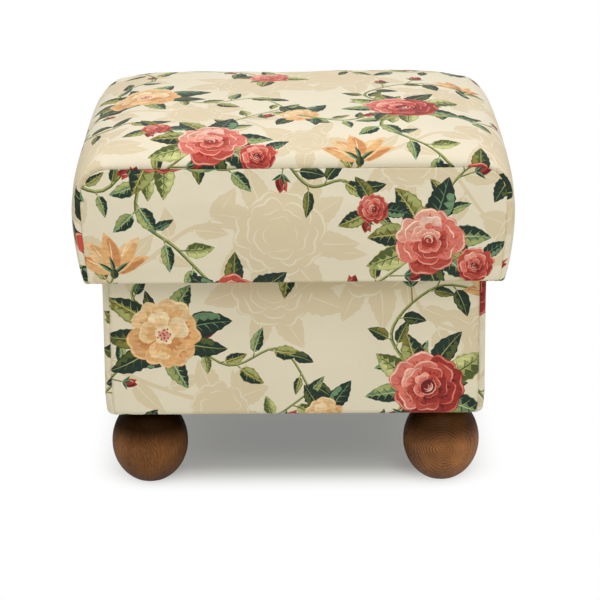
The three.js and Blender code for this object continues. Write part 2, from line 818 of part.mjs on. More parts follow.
function addLidCover() {
  const underside = centredBlock(lidOpeningHalfWidth, lidOpeningHalfDepth, lidBase - overrun, lidBoardBottom);
  const shell = lidForm(0, lidBase, coverSteps)
    .subtract(lidForm(coverThickness, lidBase + coverThickness, coverSteps))
    .subtract(underside);
  const top = lidBase + lidWallHeight + lidCrown + overrun;
  const seamY = -lidDepth / 2 + coverThickness;
  const frontPatch = (margin) => block([-lidWidth, -lidDepth, lidBase - overrun], [lidWidth, seamY + margin, top])
    .add(facingFlange(margin));
  const backPatch = (margin) => frontPatch(margin).mirror([0, 1, 0]);
  addPiece('lid_cover_front', toGeometry(shell.intersect(frontPatch(0))), 'print');
  addPiece('lid_cover_back', toGeometry(shell.intersect(backPatch(0))), 'print');
  addPiece('lid_cover_band', toGeometry(shell.subtract(frontPatch(fit)).subtract(backPatch(fit))), 'print');
}

function addLidLining() {
  const lining = centredBlock(
    lidOpeningHalfWidth - fit,
    lidOpeningHalfDepth - fit,
    lidBase,
    lidBase + liningThickness,
  ).subtract(screwRooms(turnedOver(screwRoom(boxScrewHeight))));
  addPiece('lid_lining', toGeometry(lining), 'lining');
}

addFeet();
addBoxTimber();
addBoxWadding();
addBoxCover();
addStorageLining();
addDustCloth();
addHinges();
addLidFilling();
addLidCover();
addLidLining();

export default group;
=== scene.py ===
"""Looks of an upholstered footstool: a padded, lift-up lid over a storage box on four turned ball feet.

Lengths are in metres. X runs to the right, the front faces -Y and Z is up.
Flat cloth is handled as complex numbers: the real part runs across it and the imaginary part up it.
"""

import cmath
import math
import random

import bmesh
import bpy
import numpy as np
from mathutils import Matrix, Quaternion, Vector, kdtree
from mathutils.geometry import delaunay_2d_cdt


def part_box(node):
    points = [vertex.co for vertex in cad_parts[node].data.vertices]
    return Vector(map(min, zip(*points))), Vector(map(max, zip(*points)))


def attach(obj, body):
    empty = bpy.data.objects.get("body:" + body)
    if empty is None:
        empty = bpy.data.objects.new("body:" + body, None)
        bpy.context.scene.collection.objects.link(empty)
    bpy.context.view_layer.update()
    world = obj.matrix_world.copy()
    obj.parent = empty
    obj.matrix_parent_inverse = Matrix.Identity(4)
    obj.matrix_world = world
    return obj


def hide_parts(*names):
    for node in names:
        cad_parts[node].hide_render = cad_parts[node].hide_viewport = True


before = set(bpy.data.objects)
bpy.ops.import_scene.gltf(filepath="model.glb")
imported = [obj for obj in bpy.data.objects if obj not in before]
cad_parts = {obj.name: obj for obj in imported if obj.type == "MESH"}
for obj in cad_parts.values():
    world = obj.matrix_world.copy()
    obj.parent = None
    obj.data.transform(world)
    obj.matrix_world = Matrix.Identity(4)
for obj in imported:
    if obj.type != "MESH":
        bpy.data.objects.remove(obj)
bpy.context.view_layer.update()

MM = 0.001

# Sizes that the frame gives
band_low, band_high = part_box("lid_cover_band")
_, facing_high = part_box("lid_cover_front")
front_low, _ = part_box("box_cover_front")
_, back_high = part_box("box_cover_back")
_, side_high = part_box("box_cover_right")
lining_low, lining_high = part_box("storage_lining")
lid_lining_low, lid_lining_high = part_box("lid_lining")
dust_low, dust_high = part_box("dust_cloth")
foot_low, foot_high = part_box("foot_front_right")

# Form of the lid
LID_SIDE_SWELL = 11.5 * MM
LID_CROWN = 34 * MM
LID_FACE_SWELL = 5 * MM
LID_CORNER_RADIUS = 35 * MM
LID_DRAW_IN = 7 * MM
LID_EDGE_ROLL = 4 * MM
BAND_LIFT = 0.5 * MM
HEM_GAP = 0.7 * MM
SETTLE_HEIGHT = 30 * MM
SIDE_ROLL_POWER = 4.1
SIDE_ROLL_STEEPNESS = 0.14
CROWN_ROLL_POWER = 3.2
CROWN_ROLL_STEEPNESS = 0.36
LOW_SWELL_SHARE = 1.65
HIGH_SWELL_SHARE = 0.82
LOW_PINCH_SHARE = 1.25
LOW_PINCH_POWER = 2.8
CROWN_FALL_SHARE = 0.32
CROWN_FALL_POWER = 8
lid_half_width = facing_high.x
lid_half_depth = band_high.y
lid_base = band_low.z
lid_seam_top = band_high.z - LID_CROWN
opening_half_width = lid_lining_high.x + HEM_GAP
opening_half_depth = lid_lining_high.y + HEM_GAP
facing_flange = lid_half_depth - LID_EDGE_ROLL - opening_half_depth

# Form of the box
BOX_SWELL = 3 * MM
BOX_CORNER_RADIUS = 8 * MM
BOX_LOWER_ROLL = 6.5 * MM
BOX_EDGE_DROP = 2 * MM
BOX_NARROWING = 2.5 * MM
NARROWING_HEIGHT = 30 * MM
BOX_RIM_ROLL = 5 * MM
BACK_RIM_ROLL = 3 * MM
BOX_FLANGE = 15.5 * MM
FLANGE_DROP_WIDTH = 8 * MM
TUCK_ROLL = 1.5 * MM
TUCK_DEPTH = 20 * MM
RIM_WIDTH = 21.5 * MM
RIM_STEP_FROM = 158 * MM
RIM_STEP_TO = 168 * MM
box_half_width = side_high.x - BOX_SWELL
box_half_depth = -front_low.y - BOX_SWELL
box_base = front_low.z
box_top = side_high.z
box_seam = box_half_width - BOX_CORNER_RADIUS
back_rim = back_high.z

# Seams, and the spacing of the cloth's mesh
WRAP_INSET = 4.4 * MM
FOAM_INSET = 1.3 * MM
BOX_WRAP_INSET = 1.6 * MM
WRAP_CLEARANCE = 3 * MM
GROOVE_DEPTH = 2.9 * MM
GROOVE_WIDTH = 3.4 * MM
PUCKER_DEPTH = 0.16 * MM
PUCKER_FADE = 9 * MM
PUCKER_LENGTHS = (17 * MM, 26 * MM, 11 * MM)
LID_RIPPLE = 0.7 * MM
LID_RIPPLE_LENGTH = 190 * MM
FACING_RIPPLE_LENGTH = 130 * MM
RIPPLE_FADE = 35 * MM
BOX_RIPPLE = 0.45 * MM
BOX_RIPPLE_LENGTH = 120 * MM
KNOT_SPACING = 7 * MM
SEAM_STEPS = 4000
SECTION_STEPS = 401
STATION_STEPS = 281
OUTLINE_STEP = 4
CROWN_STEPS = 60
WALL_STEPS = 40
ROLL_STEPS = 14
FLANGE_STEPS = 10
FACING_STEPS = 160
BOX_TURN_STEPS = 13
BOX_WALL_STEPS = 30
BOX_FLAT_STEPS = 8
BOX_FLANGE_STEPS = 16
BOX_WALL_KNOTS = 24
BOX_RIM_KNOTS = 9
PRINT_STEP = 6 * MM
NORMAL_STEP = 0.8 * MM
MERGE_DISTANCE = 0.001 * MM
BAKE_MARGIN_SHARE = 0.01
SEAM_ROWS = [row * MM for row in (0.5, 1.1, 1.9, 3.0, 4.8, 7.5, 11.5)]
SIDE_SEAM_ROWS = [row * MM for row in (0.7, 1.5, 2.5, 4.2, 6.3, 8.4, 10.5, 12.6)]
ROLL_ROW_SHARES = np.array([0.0, 0.4, 0.8, 1.2, 1.57])

# Folds of the lid's cover, and the simulation that they come from
FOLD_VOXEL = 7 * MM
FOLD_PINNED = 12 * MM
FOLD_PRESSURE = 4.0
FOLD_FRAMES = 20
FOLD_CAP = 8 * MM
FOLD_SOFTENING = 3
FULLNESS_SOFTENING = 30
FOLD_LIMIT = 1.4 * MM
FACING_FOLD_SHARE = 0.5
FACING_FOLD_COLUMNS = 91
FACING_FOLD_ROWS = 29
FOLD_FADE = 7 * MM
RING_STEP = 5
BAND_FOLD_STEP = 4

# Threads, depths of relief and year rings
THREAD = 0.62 * MM
LINING_THREAD = 0.7 * MM
UNDER_THREAD = 0.8 * MM
PRINT_RELIEF = 0.12 * MM
FIBRE_RELIEF = 0.6 * MM
PORE_RELIEF = 0.15 * MM
BOARD_RELIEF = 0.3 * MM
SMOOTH_RELIEF = 0.1 * MM
RING_SPACING = 3.5 * MM
RING_FADE_FROM = 8 * MM
RING_FADE_TO = 60 * MM
RING_WAVER = 17 * MM

# Lining and dust cloth, with their stitches and staples
HEM_DEPTH = 12 * MM
HEM_FOLD = 0.5 * MM
PLY = 0.3 * MM
LINING_INSET = 1.4 * MM
LINING_CORNER_RADIUS = 12 * MM
LINING_WRINKLE = 0.9 * MM
LINING_SEAM = 1.6 * MM
SHEET_SPACING = 6 * MM
SHEET_OVERLAP = 5 * MM
SHEET_HEM = 14 * MM
STITCH_LENGTH = 3 * MM
STITCH_PITCH = 4.2 * MM
STITCH_RADIUS = 0.28 * MM
STITCH_INSET = 2.5 * MM
STAPLE_LENGTH = 11 * MM
STAPLE_PITCH = 32 * MM
STAPLE_RADIUS = 0.4 * MM
STAPLE_JITTER = 3 * MM
LINING_CUT = 38 * MM
LINING_STEP = 4 * MM
CORNER_STEPS = 12
LINING_LEVELS = 22
HEM_FOLD_STEPS = 7
STITCH_LINE_STEPS = 1200
LINING_RIPPLE_LENGTH = 55 * MM
LINING_FLOOR_RIPPLE_LENGTH = 80 * MM
SHEET_RIPPLE_LENGTH = 90 * MM
HEADING_STEP = 1 * MM
HEM_STEP = 2 * MM
SHEET_HEM_STEP = 1.2 * MM
LINING_HEM_ROWS = np.array([-1, 0, 0.6, 4, 8, 11]) * MM
SHEET_ROWS = [row * MM for row in (2.5, 5, 7, 9, 11, 12.4, 13, 13.6, 14.4)]
LIFT_OF_EDGE = 0.15 * MM
CAPSULE_SHARES = ((-0.5, 0.0), (-0.46, 0.7), (-0.36, 1.0), (0.36, 1.0), (0.46, 0.7), (0.5, 0.0))
CAPSULE_SIDES = 6

# Feet
FOOT_SIDES = 96
FOOT_STEPS = 24
FOOT_RADIUS = 46.3 * MM
FOOT_TOP_RADIUS = 21.2 * MM
FOOT_BOTTOM_RADIUS = 20 * MM
# Where the painted shade round a foot's top starts and ends, as shares of its radius above the waist, and
# the share by which painted light makes the outer side of each foot lighter and its inner side darker
SHADE_FROM_SHARE = -0.05
SHADE_TO_SHARE = 0.6
OUTER_PAINTED_LIGHT_SHARE = 0.2
FOOT_WAIST_SHARE = 0.51
# How each foot was cut from its log: the log's tilt from upright and its heading in degrees, where its heart
# lay in millimetres, the depth of its stain, which also serves as painted light and shade for how brightly
# each foot is lit, and how much painted shade darkens it round the top, where the box shades it
FOOT_LOGS = {
    "front_left": (3, 10, (96, 12), 0.8, 0.9),
    "front_right": (75, 0, (-8, 2), 1.3, 0.8),
    "rear_left": (12, 140, (40, 60), 0.9, 0.8),
    "rear_right": (80, 60, (30, 12), 0.85, 0.8),
}

# Floor, light and camera
FLOOR_HALF = 30.0
FLOOR_TONE = (0.765, 0.785, 0.735, 1)
FLOOR_LIFT = 0.175
SHADOW_INSET = Vector((64 * MM, 85 * MM, 0))
SHADOW_FADE = 100 * MM
BACKDROP = 1.0
WORLD_LEVEL = 0.56
WORLD_TONE = (1.0, 0.98, 0.93)
TARGET = Vector((0.0067, 0, 0.181))
CAMERA_FROM = 0.220
CAMERA_DISTANCE = 3.175
CAMERA_ELEVATION = math.radians(16.9)
CAMERA_YAW = math.radians(-0.1)
CAMERA_ROLL = math.radians(-0.42)
SENSOR_MILLIMETRES = 36
FOCAL_PIXELS = 2518
IMAGE_PIXELS = 600
# Each softbox: its place, what it points at, how wide it is, its power in watts and its colour
SOFTBOXES = {
    "overhead_softbox": ((0.1, -0.5, 2.6), (0, 0, 0.2), 1.5, 22, (0.97, 0.985, 1.0)),
    "high_front_fill": ((0.5, -2.2, 2.3), (0, 0, 0.2), 1.2, 17, (1.0, 0.98, 0.93)),
}


# The print: its colours as sRGB, from 0 to 255, and its sizes
TONES = {
    "ground": (236, 226, 203), "shadow": (225, 209, 177),
    "deep": (112, 34, 36), "crimson": (158, 52, 47), "red": (190, 78, 66), "rose": (219, 120, 106),
    "pink": (233, 160, 142), "blush": (245, 202, 184), "cream": (250, 230, 205),
    "orange": (208, 142, 90), "amber": (228, 176, 120), "peach": (238, 200, 150), "straw": (246, 222, 180),
    "pine": (38, 55, 47), "moss": (86, 96, 50), "olive": (132, 126, 62), "sage": (112, 142, 106),
    "leaf": (166, 172, 106), "lime": (200, 202, 138),
}
GREENS = [
    ("pine", "olive", "leaf", "lime"),
    ("pine", "sage", "leaf", "lime"),
    ("moss", "leaf", "lime", "pine"),
    ("pine", "moss", "olive", "leaf"),
    ("pine", "pine", "sage", "sage"),
    ("pine", "pine", "moss", "leaf"),
]
REDS = ("deep", "crimson", "red", "rose", "pink", "blush")
PINKS = ("crimson", "red", "rose", "pink", "blush", "cream")
PEACHES = ("orange", "amber", "peach", "straw", "cream")
TILE_WIDTH = 540 * MM
TILE_HEIGHT = 480 * MM
BLOOM_RADIUS = 46 * MM
LEAF_LENGTH = 33 * MM
STEM_WIDTH = 4.4 * MM
SHADOW_SIZE_SHARE = 1.45
LIGHT_FROM = 2.2

# Places in one repeat, as shares of its width and height. BACK stands for the shadow print
VINE_SHARES = [
    (
        -0.03 + 0.60j, 0.08 + 0.55j, 0.20 + 0.68j, 0.33 + 0.60j, 0.45 + 0.66j,
        0.62 + 0.82j, 0.76 + 0.74j, 0.88 + 0.78j, 0.97 + 0.60j,
    ),
    (
        0.20 + 0.68j, 0.15 + 0.50j, 0.24 + 0.40j, 0.36 + 0.26j, 0.50 + 0.20j,
        0.62 + 0.27j, 0.78 + 0.42j, 0.83 + 0.56j, 0.93 + 0.66j,
    ),
    (0.36 + 0.26j, 0.27 + 0.12j, 0.15 + 0.12j, 0.07 + 0.24j, 0.10 + 0.34j),
    (0.78 + 0.42j, 0.90 + 0.30j, 0.99 + 0.24j, 1.10 + 0.10j),
    (0.62 + 0.82j, 0.55 + 0.93j, 0.63 + 1.03j, 0.60 + 1.16j),
    (0.20 + 0.68j, 0.12 + 0.82j, 0.22 + 0.94j, 0.35 + 0.92j),
    (0.62 + 0.27j, 0.70 + 0.15j, 0.82 + 0.12j, 0.90 + 0.03j),
    (0.45 + 0.66j, 0.52 + 0.56j, 0.60 + 0.57j, 0.66 + 0.50j),
]
# Each flower: its kind, colours, place, size as a share of the largest, and how many leaves lie under it
FLOWER_SHARES = [
    ("rosette", REDS, 0.20 + 0.68j, 1.0, 8), ("open", PEACHES, 0.62 + 0.82j, 0.98, 7),
    ("rosette", PINKS, 0.78 + 0.42j, 0.92, 7), ("rosette", REDS, 0.88 + 0.355j, 0.5, 3),
    ("rosette", REDS, 0.36 + 0.26j, 0.8, 6), ("open", PEACHES, 0.285 + 0.20j, 0.46, 2),
    ("cup", PEACHES, 0.10 + 0.34j, 1.2, 0), ("open", PEACHES, 0.97 + 0.60j, 0.56, 4),
    ("cup", PEACHES, 0.35 + 0.92j, 0.95, 0), ("rosette", PINKS, 0.90 + 0.03j, 0.56, 4),
    ("rosette", REDS, 0.66 + 0.50j, 0.4, 3),
]
BACK_VINE_SHARES = [
    (0.02 + 0.42j, 0.14 + 0.36j, 0.28 + 0.46j, 0.42 + 0.44j, 0.56 + 0.40j),
    (0.42 + 0.86j, 0.50 + 0.74j, 0.66 + 0.66j, 0.80 + 0.62j, 0.90 + 0.48j),
    (0.48 + 0.02j, 0.60 + 0.08j, 0.76 + 0.26j, 0.92 + 0.16j, 1.06 + 0.20j),
    (0.02 + 0.92j, 0.14 + 0.98j, 0.20 + 0.86j, 0.34 + 0.80j),
]
BACK_FLOWER_SHARES = [
    ("rosette", REDS, 0.46 + 0.44j, 1.25, 8), ("open", PEACHES, 0.06 + 0.02j, 1.2, 7),
    ("rosette", REDS, 0.86 + 0.94j, 1.15, 7), ("open", PEACHES, 0.74 + 0.62j, 0.8, 5),
    ("rosette", REDS, 0.34 + 0.80j, 0.8, 5), ("rosette", REDS, 0.98 + 0.42j, 0.7, 5),
    ("open", PEACHES, 0.56 + 0.06j, 0.8, 6),
]

# Where each panel is cut from the print: the panel's own zero point, as a share of one repeat
BAND_CUT_SHARE = -0.043 + 0.806j
FACING_CUT_SHARE = 0.489 - 0.252j
BACK_FACING_CUT_SHARE = 0.2 + 0.1j
BOX_FRONT_CUT_SHARE = 0.907 + 0.565j
BOX_BACK_CUT_SHARE = 0.4 + 0.35j
BOX_LEFT_CUT_SHARE = 0.15 + 0.6j
BOX_RIGHT_CUT_SHARE = 0.6 + 0.3j

# Each ring of petals: their number, reach, half the angle that one spans, and how much lighter they are
ROSETTE_RING_SHARES = ((7, 1.0, 0.6, 0), (6, 0.77, 0.64, 1), (5, 0.56, 0.74, 0), (4, 0.38, 0.85, 1))
OPEN_RING_SHARES = ((6, 1.0, 0.66, 0), (5, 0.72, 0.66, 1))
# Each petal of a cup: its angle, length, width and tone
CUP_PETAL_SHARES = (
    (1.0, 0.92, 0.36, 1), (-0.95, 0.86, 0.36, 1), (0.55, 1.0, 0.4, 2), (-0.45, 0.98, 0.42, 2),
    (0.05, 0.94, 0.46, 1),
)


def linear(tone):
    """A colour written as sRGB, from 0 to 255, as the linear values that a shader takes."""
    shares = [value / 255 for value in tone]
    return [s / 12.92 if s <= 0.04045 else ((s + 0.055) / 1.055) ** 2.4 for s in shares]


def brush(path, widths):
    """A brush stroke along a path, as one outline."""
    path = np.asarray(path)
    widths = np.asarray(widths)
    along = np.gradient(path)
    side = 0.5j * widths * along / np.maximum(np.abs(along), 1e-9)
    return np.concatenate([path + side, (path - side)[::-1]])


def smooth_path(points, steps):
    """A smooth curve through a few points."""
    points = np.asarray(points, dtype=complex)
    first = 2 * points[0] - points[1]
    last = 2 * points[-1] - points[-2]
    p = np.concatenate([[first], points, [last]])
    out = []
    for k in range(1, len(p) - 2):
        for step in range(steps):
            t = step / steps
            straight = 2 * p[k] + (p[k + 1] - p[k - 1]) * t
            square = (2 * p[k - 1] - 5 * p[k] + 4 * p[k + 1] - p[k + 2]) * t * t
            cube = (3 * p[k] - p[k - 1] - 3 * p[k + 1] + p[k + 2]) * t ** 3
            out.append((straight + square + cube) / 2)
    out.append(p[-2])
    return np.array(out)


def placed(layers, at=0, turn=0.0, size=1.0, flip=False):
    """Layers moved, turned, scaled and, if asked, turned over."""
    spin = size * cmath.exp(1j * turn)
    return [((np.conj(p) if flip else p) * spin + at, tone, kind) for p, tone, kind in layers]


def spine_and_side(t, bend):
    """Places along a bent middle line one unit long, and the direction to its left at each."""
    slope = 1 + 2j * bend * t
    return t + 1j * bend * t * t, 1j * slope / np.abs(slope)


def torn_line(rng, count, even, odd):
    """A random share for each of a number of points, from one of two ranges in turn."""
    return np.array([rng.uniform(*(odd if k % 2 else even)) for k in range(count)])


def leaf(rng, width, bend, tones, teeth, vein_shares=(0.22, 0.4, 0.58, 0.74)):
    """A lightly toothed leaf one unit long, dark on one half and light on the other."""
    dark, mid, light, rib = tones
    count = teeth * 2 + 1
    t = np.linspace(0, 1, count)
    half = width / 2 * np.sin(np.pi * t ** 0.72) ** 0.9
    saw = torn_line(rng, count, (0.9, 0.98), (1.0, 1.1))
    spine, side = spine_and_side(t, bend)
    upper = spine + side * half * saw
    lower = spine - side * half * saw
    layers = [(np.concatenate([upper, lower[-2:0:-1]]), mid, "outline")]
    torn = torn_line(rng, count, (0.16, 0.5), (-0.05, 0.16))
    dark_edge = (spine + side * half * 0.93 * saw)[1:-1]
    dark_inside = (spine + side * half * torn)[-2:0:-1]
    layers.append((np.concatenate([dark_edge, dark_inside]), dark, "inner"))
    low = max(1, int(count * 0.12))
    high = int(count * rng.uniform(0.72, 0.88))
    torn = torn_line(rng, count, (0.3, 0.6), (0.12, 0.3))
    light_edge = (spine - side * half * 0.88)[low:high]
    light_inside = (spine - side * half * torn)[low:high][::-1]
    layers.append((np.concatenate([light_edge, light_inside]), light, "inner"))
    for share in vein_shares:
        for sign, tone in ((1, light), (-1, dark)):
            reach = rng.uniform(0.55, 0.85)
            start, _ = spine_and_side(share, bend)
            at = share + 0.13
            end_half = width / 2 * math.sin(math.pi * at ** 0.72) ** 0.9
            middle, left = spine_and_side(at, bend)
            end = middle + sign * left * end_half * reach
            path = np.array([start, (start + end) / 2 + 0.012, end])
            layers.append((brush(path, [0.022, 0.016, 0.002]), tone, "inner"))
    rib_path = spine[::2] - 0.03
    layers.append((brush(rib_path, np.linspace(0.035, 0.006, len(rib_path))), rib, "line"))
    return layers


def blade(body, shade, width, bend):
    """A smooth pointed leaf or petal one unit long, shaded along one side."""
    t = np.linspace(0, 1, 7)
    half = width / 2 * np.sin(np.pi * t ** 0.8) ** 0.9
    spine, side = spine_and_side(t, bend)
    whole = np.concatenate([spine + side * half, (spine - side * half)[-2:0:-1]])
    part = np.concatenate([(spine + side * half * 0.1)[1:-1], (spine - side * half * 0.86)[-2:0:-1]])
    return [(whole, body, "outline"), (part, shade, "inner")]


def petal(rng, spread, body, shade, rim, notch=0.06):
    """A rounded petal whose root is at zero and whose lip is one unit away."""
    a = np.linspace(-1, 1, 11)
    r = 1 - 0.3 * np.abs(a) ** 3.2 - notch * np.exp(-(a / 0.22) ** 2)
    r = r * (1 + 0.035 * np.sin(a * rng.uniform(4, 7) + rng.uniform(0, 6)))
    lip = r * np.exp(1j * a * spread)
    layers = [(np.concatenate([lip, [0]]), body, "outline")]
    torn = torn_line(rng, len(r), (0.7, 0.86), (0.6, 0.7))
    inner = r * torn * np.exp(1j * a * spread * 0.86)
    layers.append((np.concatenate([inner, [0]]), shade, "inner"))
    first = rng.randrange(0, 3)
    last = len(r) - rng.randrange(0, 4)
    crest = lip[first:last] * 0.955
    layers.append((brush(crest, 0.055 * np.sin(np.linspace(0.1, 3.09, len(crest)))), rim, "line"))
    for _ in range(3):
        at = rng.uniform(-0.6, 0.6) * spread
        start = rng.uniform(0.45, 0.6)
        path = np.array([start, start + 0.14, start + 0.28]) * np.exp(1j * at)
        layers.append((brush(path, [0.005, 0.022, 0.004]), shade, "inner"))
    return layers


def angles_round(count):
    """Angles spaced evenly round a circle."""
    return np.linspace(0, math.tau, count, endpoint=False)


def rosette(rng, tones):
    """A full round flower of four rings of petals, lighter on the side that the light comes from."""
    layers = []
    count = len(tones)
    for number, reach, spread, lift in ROSETTE_RING_SHARES:
        twist = rng.uniform(0, 6)
        order = list(range(number))
        rng.shuffle(order)
        for place in order:
            turn = twist + (place + rng.uniform(-0.12, 0.12)) * math.tau / number
            glow = 0.5 + 0.5 * math.cos(turn - LIGHT_FROM)
            level = 1.25 + glow * (count - 4) + lift * 0.75 + rng.uniform(-0.3, 0.3)
            k = int(min(max(level, 1), count - 2))
            shape = petal(rng, spread, tones[k], tones[k - 1], tones[min(k + 2, count - 1)])
            layers += placed(shape, turn=turn, size=reach * rng.uniform(0.92, 1.06))
    layers.append((0.2 * np.exp(1j * angles_round(12)), tones[0], "inner"))
    for number in range(5):
        radius = 0.05 + number * 0.045
        start = rng.uniform(0, 6)
        path = radius * np.exp(1j * np.linspace(start, start + rng.uniform(2.2, 3.4), 8))
        widths = 0.04 * np.sin(np.linspace(0.1, 3.0, 8))
        layers.append((brush(path, widths), tones[3 + number % 3], "inner"))
    return layers


def open_flower(rng, tones):
    """An open flower of two rings of broad petals round a speckled middle."""
    layers = []
    for number, reach, spread, lift in OPEN_RING_SHARES:
        twist = rng.uniform(0, 6)
        for place in range(number):
            turn = twist + (place + rng.uniform(-0.1, 0.1)) * math.tau / number
            glow = 0.5 + 0.5 * math.cos(turn - LIGHT_FROM)
            k = 1 + int(min(max(glow * 1.6 + lift * 0.9 + rng.uniform(-0.3, 0.3), 0), 2))
            shape = petal(rng, spread, tones[k], tones[k - 1], tones[min(k + 1, 4)], notch=0.1)
            layers += placed(shape, turn=turn, size=reach * rng.uniform(0.93, 1.06))
    a = angles_round(16)
    layers.append((0.26 * (1 + 0.12 * np.sin(a * 5)) * np.exp(1j * a), "straw", "inner"))
    layers.append((0.16 * (1 + 0.16 * np.sin(a * 4 + 1)) * np.exp(1j * a), "pink", "inner"))
    for number in range(13):
        middle = 0.056 * math.sqrt(number) * cmath.exp(2.4j * number)
        dot = 0.026 * np.exp(1j * angles_round(5)) + middle
        layers.append((dot, "deep" if number % 3 else "crimson", "inner"))
    return layers


def cup_flower(rng, tones):
    """A cup-shaped flower seen from the side, with its green collar."""
    layers = []
    for angle, length, width, k in CUP_PETAL_SHARES:
        shape = blade(tones[k], tones[k - 1], width, math.copysign(0.16, angle))
        layers += placed(shape, turn=angle, size=length * rng.uniform(0.94, 1.04))
        path = np.array([0.3, 0.5, 0.74]) * cmath.exp(1j * (angle + 0.05))
        layers.append((brush(path, [0.01, 0.03, 0.004]), tones[3], "inner"))
    for angle in (0.75, -0.7, 0.05):
        layers += placed(blade("sage", "pine", 0.22, math.copysign(0.2, angle)), turn=angle, size=0.42)
    layers += placed(blade("moss", "pine", 0.7, 0.0), at=-0.12, size=0.26)
    return placed(layers, turn=math.pi / 2)


def bud(tones):
    """A closed bud with three sepals."""
    layers = blade(tones[1], tones[0], 0.62, 0.0)
    layers += placed(blade(tones[2], tones[1], 0.46, 0.22), at=0.04, turn=0.16, size=0.9)
    path = [0.25 + 0.1j, 0.5 + 0.16j, 0.76 + 0.12j]
    layers.append((brush(path, [0.01, 0.07, 0.01]), tones[4], "inner"))
    for angle in (0.6, -0.6, 0.1):
        layers += placed(blade("sage", "pine", 0.3, math.copysign(0.3, angle)), turn=angle, size=0.62)
    return layers


FLOWERS = {"rosette": rosette, "open": open_flower, "cup": cup_flower}


def stem(points, thick, thin, steps):
    """A tapering stem, darker along its lower side, and the path that it follows."""
    path = smooth_path(points, steps)
    widths = np.linspace(thick, thin, len(path))
    along = np.gradient(path)
    side = 1j * along / np.maximum(np.abs(along), 1e-9)
    layers = [(brush(path, widths), "leaf", "outline")]
    layers.append((brush(path - side * widths * 0.24, widths * 0.42), "moss", "inner"))
    return layers, path


def vine(rng, points, size):
    """A stem with leaves on alternate sides, a bud here and there, and one leaf at its tip."""
    thick = STEM_WIDTH * size
    layers, path = stem(points, thick, thick * 0.6, 7)
    steps = np.abs(np.diff(path))
    along = np.concatenate([[0], np.cumsum(steps)])
    place = LEAF_LENGTH * size * 0.5
    sign = 1
    while place < along[-1] - LEAF_LENGTH * size * 0.3:
        k = int(np.searchsorted(along, place))
        heading = cmath.phase(path[min(k + 1, len(path) - 1)] - path[k - 1])
        sign = -sign
        length = LEAF_LENGTH * size * rng.uniform(0.72, 1.12)
        turn = heading + sign * rng.uniform(0.5, 1.05)
        budding = rng.random() < 0.14
        reach = length * (0.6 if budding else 0.2)
        joint, twig = stem([path[k], path[k] + cmath.rect(reach, turn)], thick * 0.5, thick * 0.36, 2)
        layers += joint
        if budding:
            layers += placed(bud(REDS), twig[-1], turn, length * 0.72)
        else:
            width = rng.uniform(0.42, 0.6)
            bend = sign * rng.uniform(0.05, 0.25)
            shape = leaf(rng, width, bend, rng.choice(GREENS), 4, (0.3, 0.56))
            layers += placed(shape, twig[-1], turn, length, rng.random() < 0.4)
        place += LEAF_LENGTH * size * rng.uniform(0.5, 0.85)
    heading = cmath.phase(path[-1] - path[-2])
    return layers + placed(leaf(rng, 0.42, 0.12, GREENS[1], 4), path[-1], heading, LEAF_LENGTH * size)


def collar(rng, at, radius, number):
    """Leaves that stand out all round from under a flower."""
    layers = []
    start = rng.uniform(0, math.tau)
    for k in range(number):
        turn = start + (k + rng.uniform(-0.25, 0.25)) * math.tau / number
        shape = leaf(rng, rng.uniform(0.5, 0.66), rng.uniform(-0.2, 0.2), rng.choice(GREENS), 6)
        root = at + cmath.rect(radius * 0.6, turn)
        lean = turn + rng.uniform(-0.3, 0.3)
        length = (radius + LEAF_LENGTH) * rng.uniform(0.55, 0.72)
        layers += placed(shape, root, lean, length, rng.random() < 0.5)
    return layers


def in_tile(share):
    """A place in the repeat from its shares of the width and height."""
    return TILE_WIDTH * share.real + 1j * TILE_HEIGHT * share.imag


def growth(rng, vine_shares, flower_shares, size):
    """Vines first, then the leaves under each flower, then the flowers."""
    layers = []
    for shares in vine_shares:
        layers += vine(rng, [in_tile(share) for share in shares], size)
    for _, _, share, scale, number in flower_shares:
        layers += collar(rng, in_tile(share), BLOOM_RADIUS * scale, number)
    for kind, tones, share, scale, _ in flower_shares:
        flower = FLOWERS[kind](rng, tones)
        layers += placed(flower, in_tile(share), rng.uniform(-0.4, 0.4), BLOOM_RADIUS * scale)
    return layers


def tile_layers():
    """One repeat of the print, in the order in which it is painted: the shadow print, then the motifs."""
    rng = random.Random(11)
    front = growth(rng, VINE_SHARES, FLOWER_SHARES, 1.0)
    back = growth(rng, BACK_VINE_SHARES, BACK_FLOWER_SHARES, SHADOW_SIZE_SHARE)
    plain = {"outline": "shadow", "line": "ground"}
    return [(p, plain[kind], kind) for p, _, kind in back if kind in plain] + front


def coloured_tile():
    """The repeat's layers with their colours, whose alpha is 0 in the shadow print and 1 in the motifs."""
    rng = random.Random(5)
    layers = []
    for points, tone, _ in tile_layers():
        colour = linear(TONES[tone])
        flat = tone in ("shadow", "ground")
        if not flat:
            shift = 1 + rng.uniform(-0.09, 0.09)
            colour = [value * shift for value in colour]
        layers.append((points, colour + [0.0 if flat else 1.0]))
    return layers


tile = coloured_tile()
GROUND = linear(TONES["ground"]) + [0.0]


def repeats_over(outline, shift):
    """The layers of every repeat that reaches the outline: the shadow print first, then the motifs."""
    low = outline.real.min() + 1j * outline.imag.min()
    high = outline.real.max() + 1j * outline.imag.max()
    first = low - shift
    last = high - shift
    columns = range(math.floor(first.real / TILE_WIDTH) - 1, math.ceil(last.real / TILE_WIDTH) + 1)
    rows = range(math.floor(first.imag / TILE_HEIGHT) - 1, math.ceil(last.imag / TILE_HEIGHT) + 1)
    found = [[], []]
    for column in columns:
        for row in rows:
            move = shift + in_tile(column + 1j * row)
            for points, colour in tile:
                p = points + move
                if p.real.max() < low.real or p.real.min() > high.real:
                    continue
                if p.imag.max() < low.imag or p.imag.min() > high.imag:
                    continue
                found[int(colour[3])].append((p, colour))
    return found[0] + found[1]


# Cloth panels that carry the print

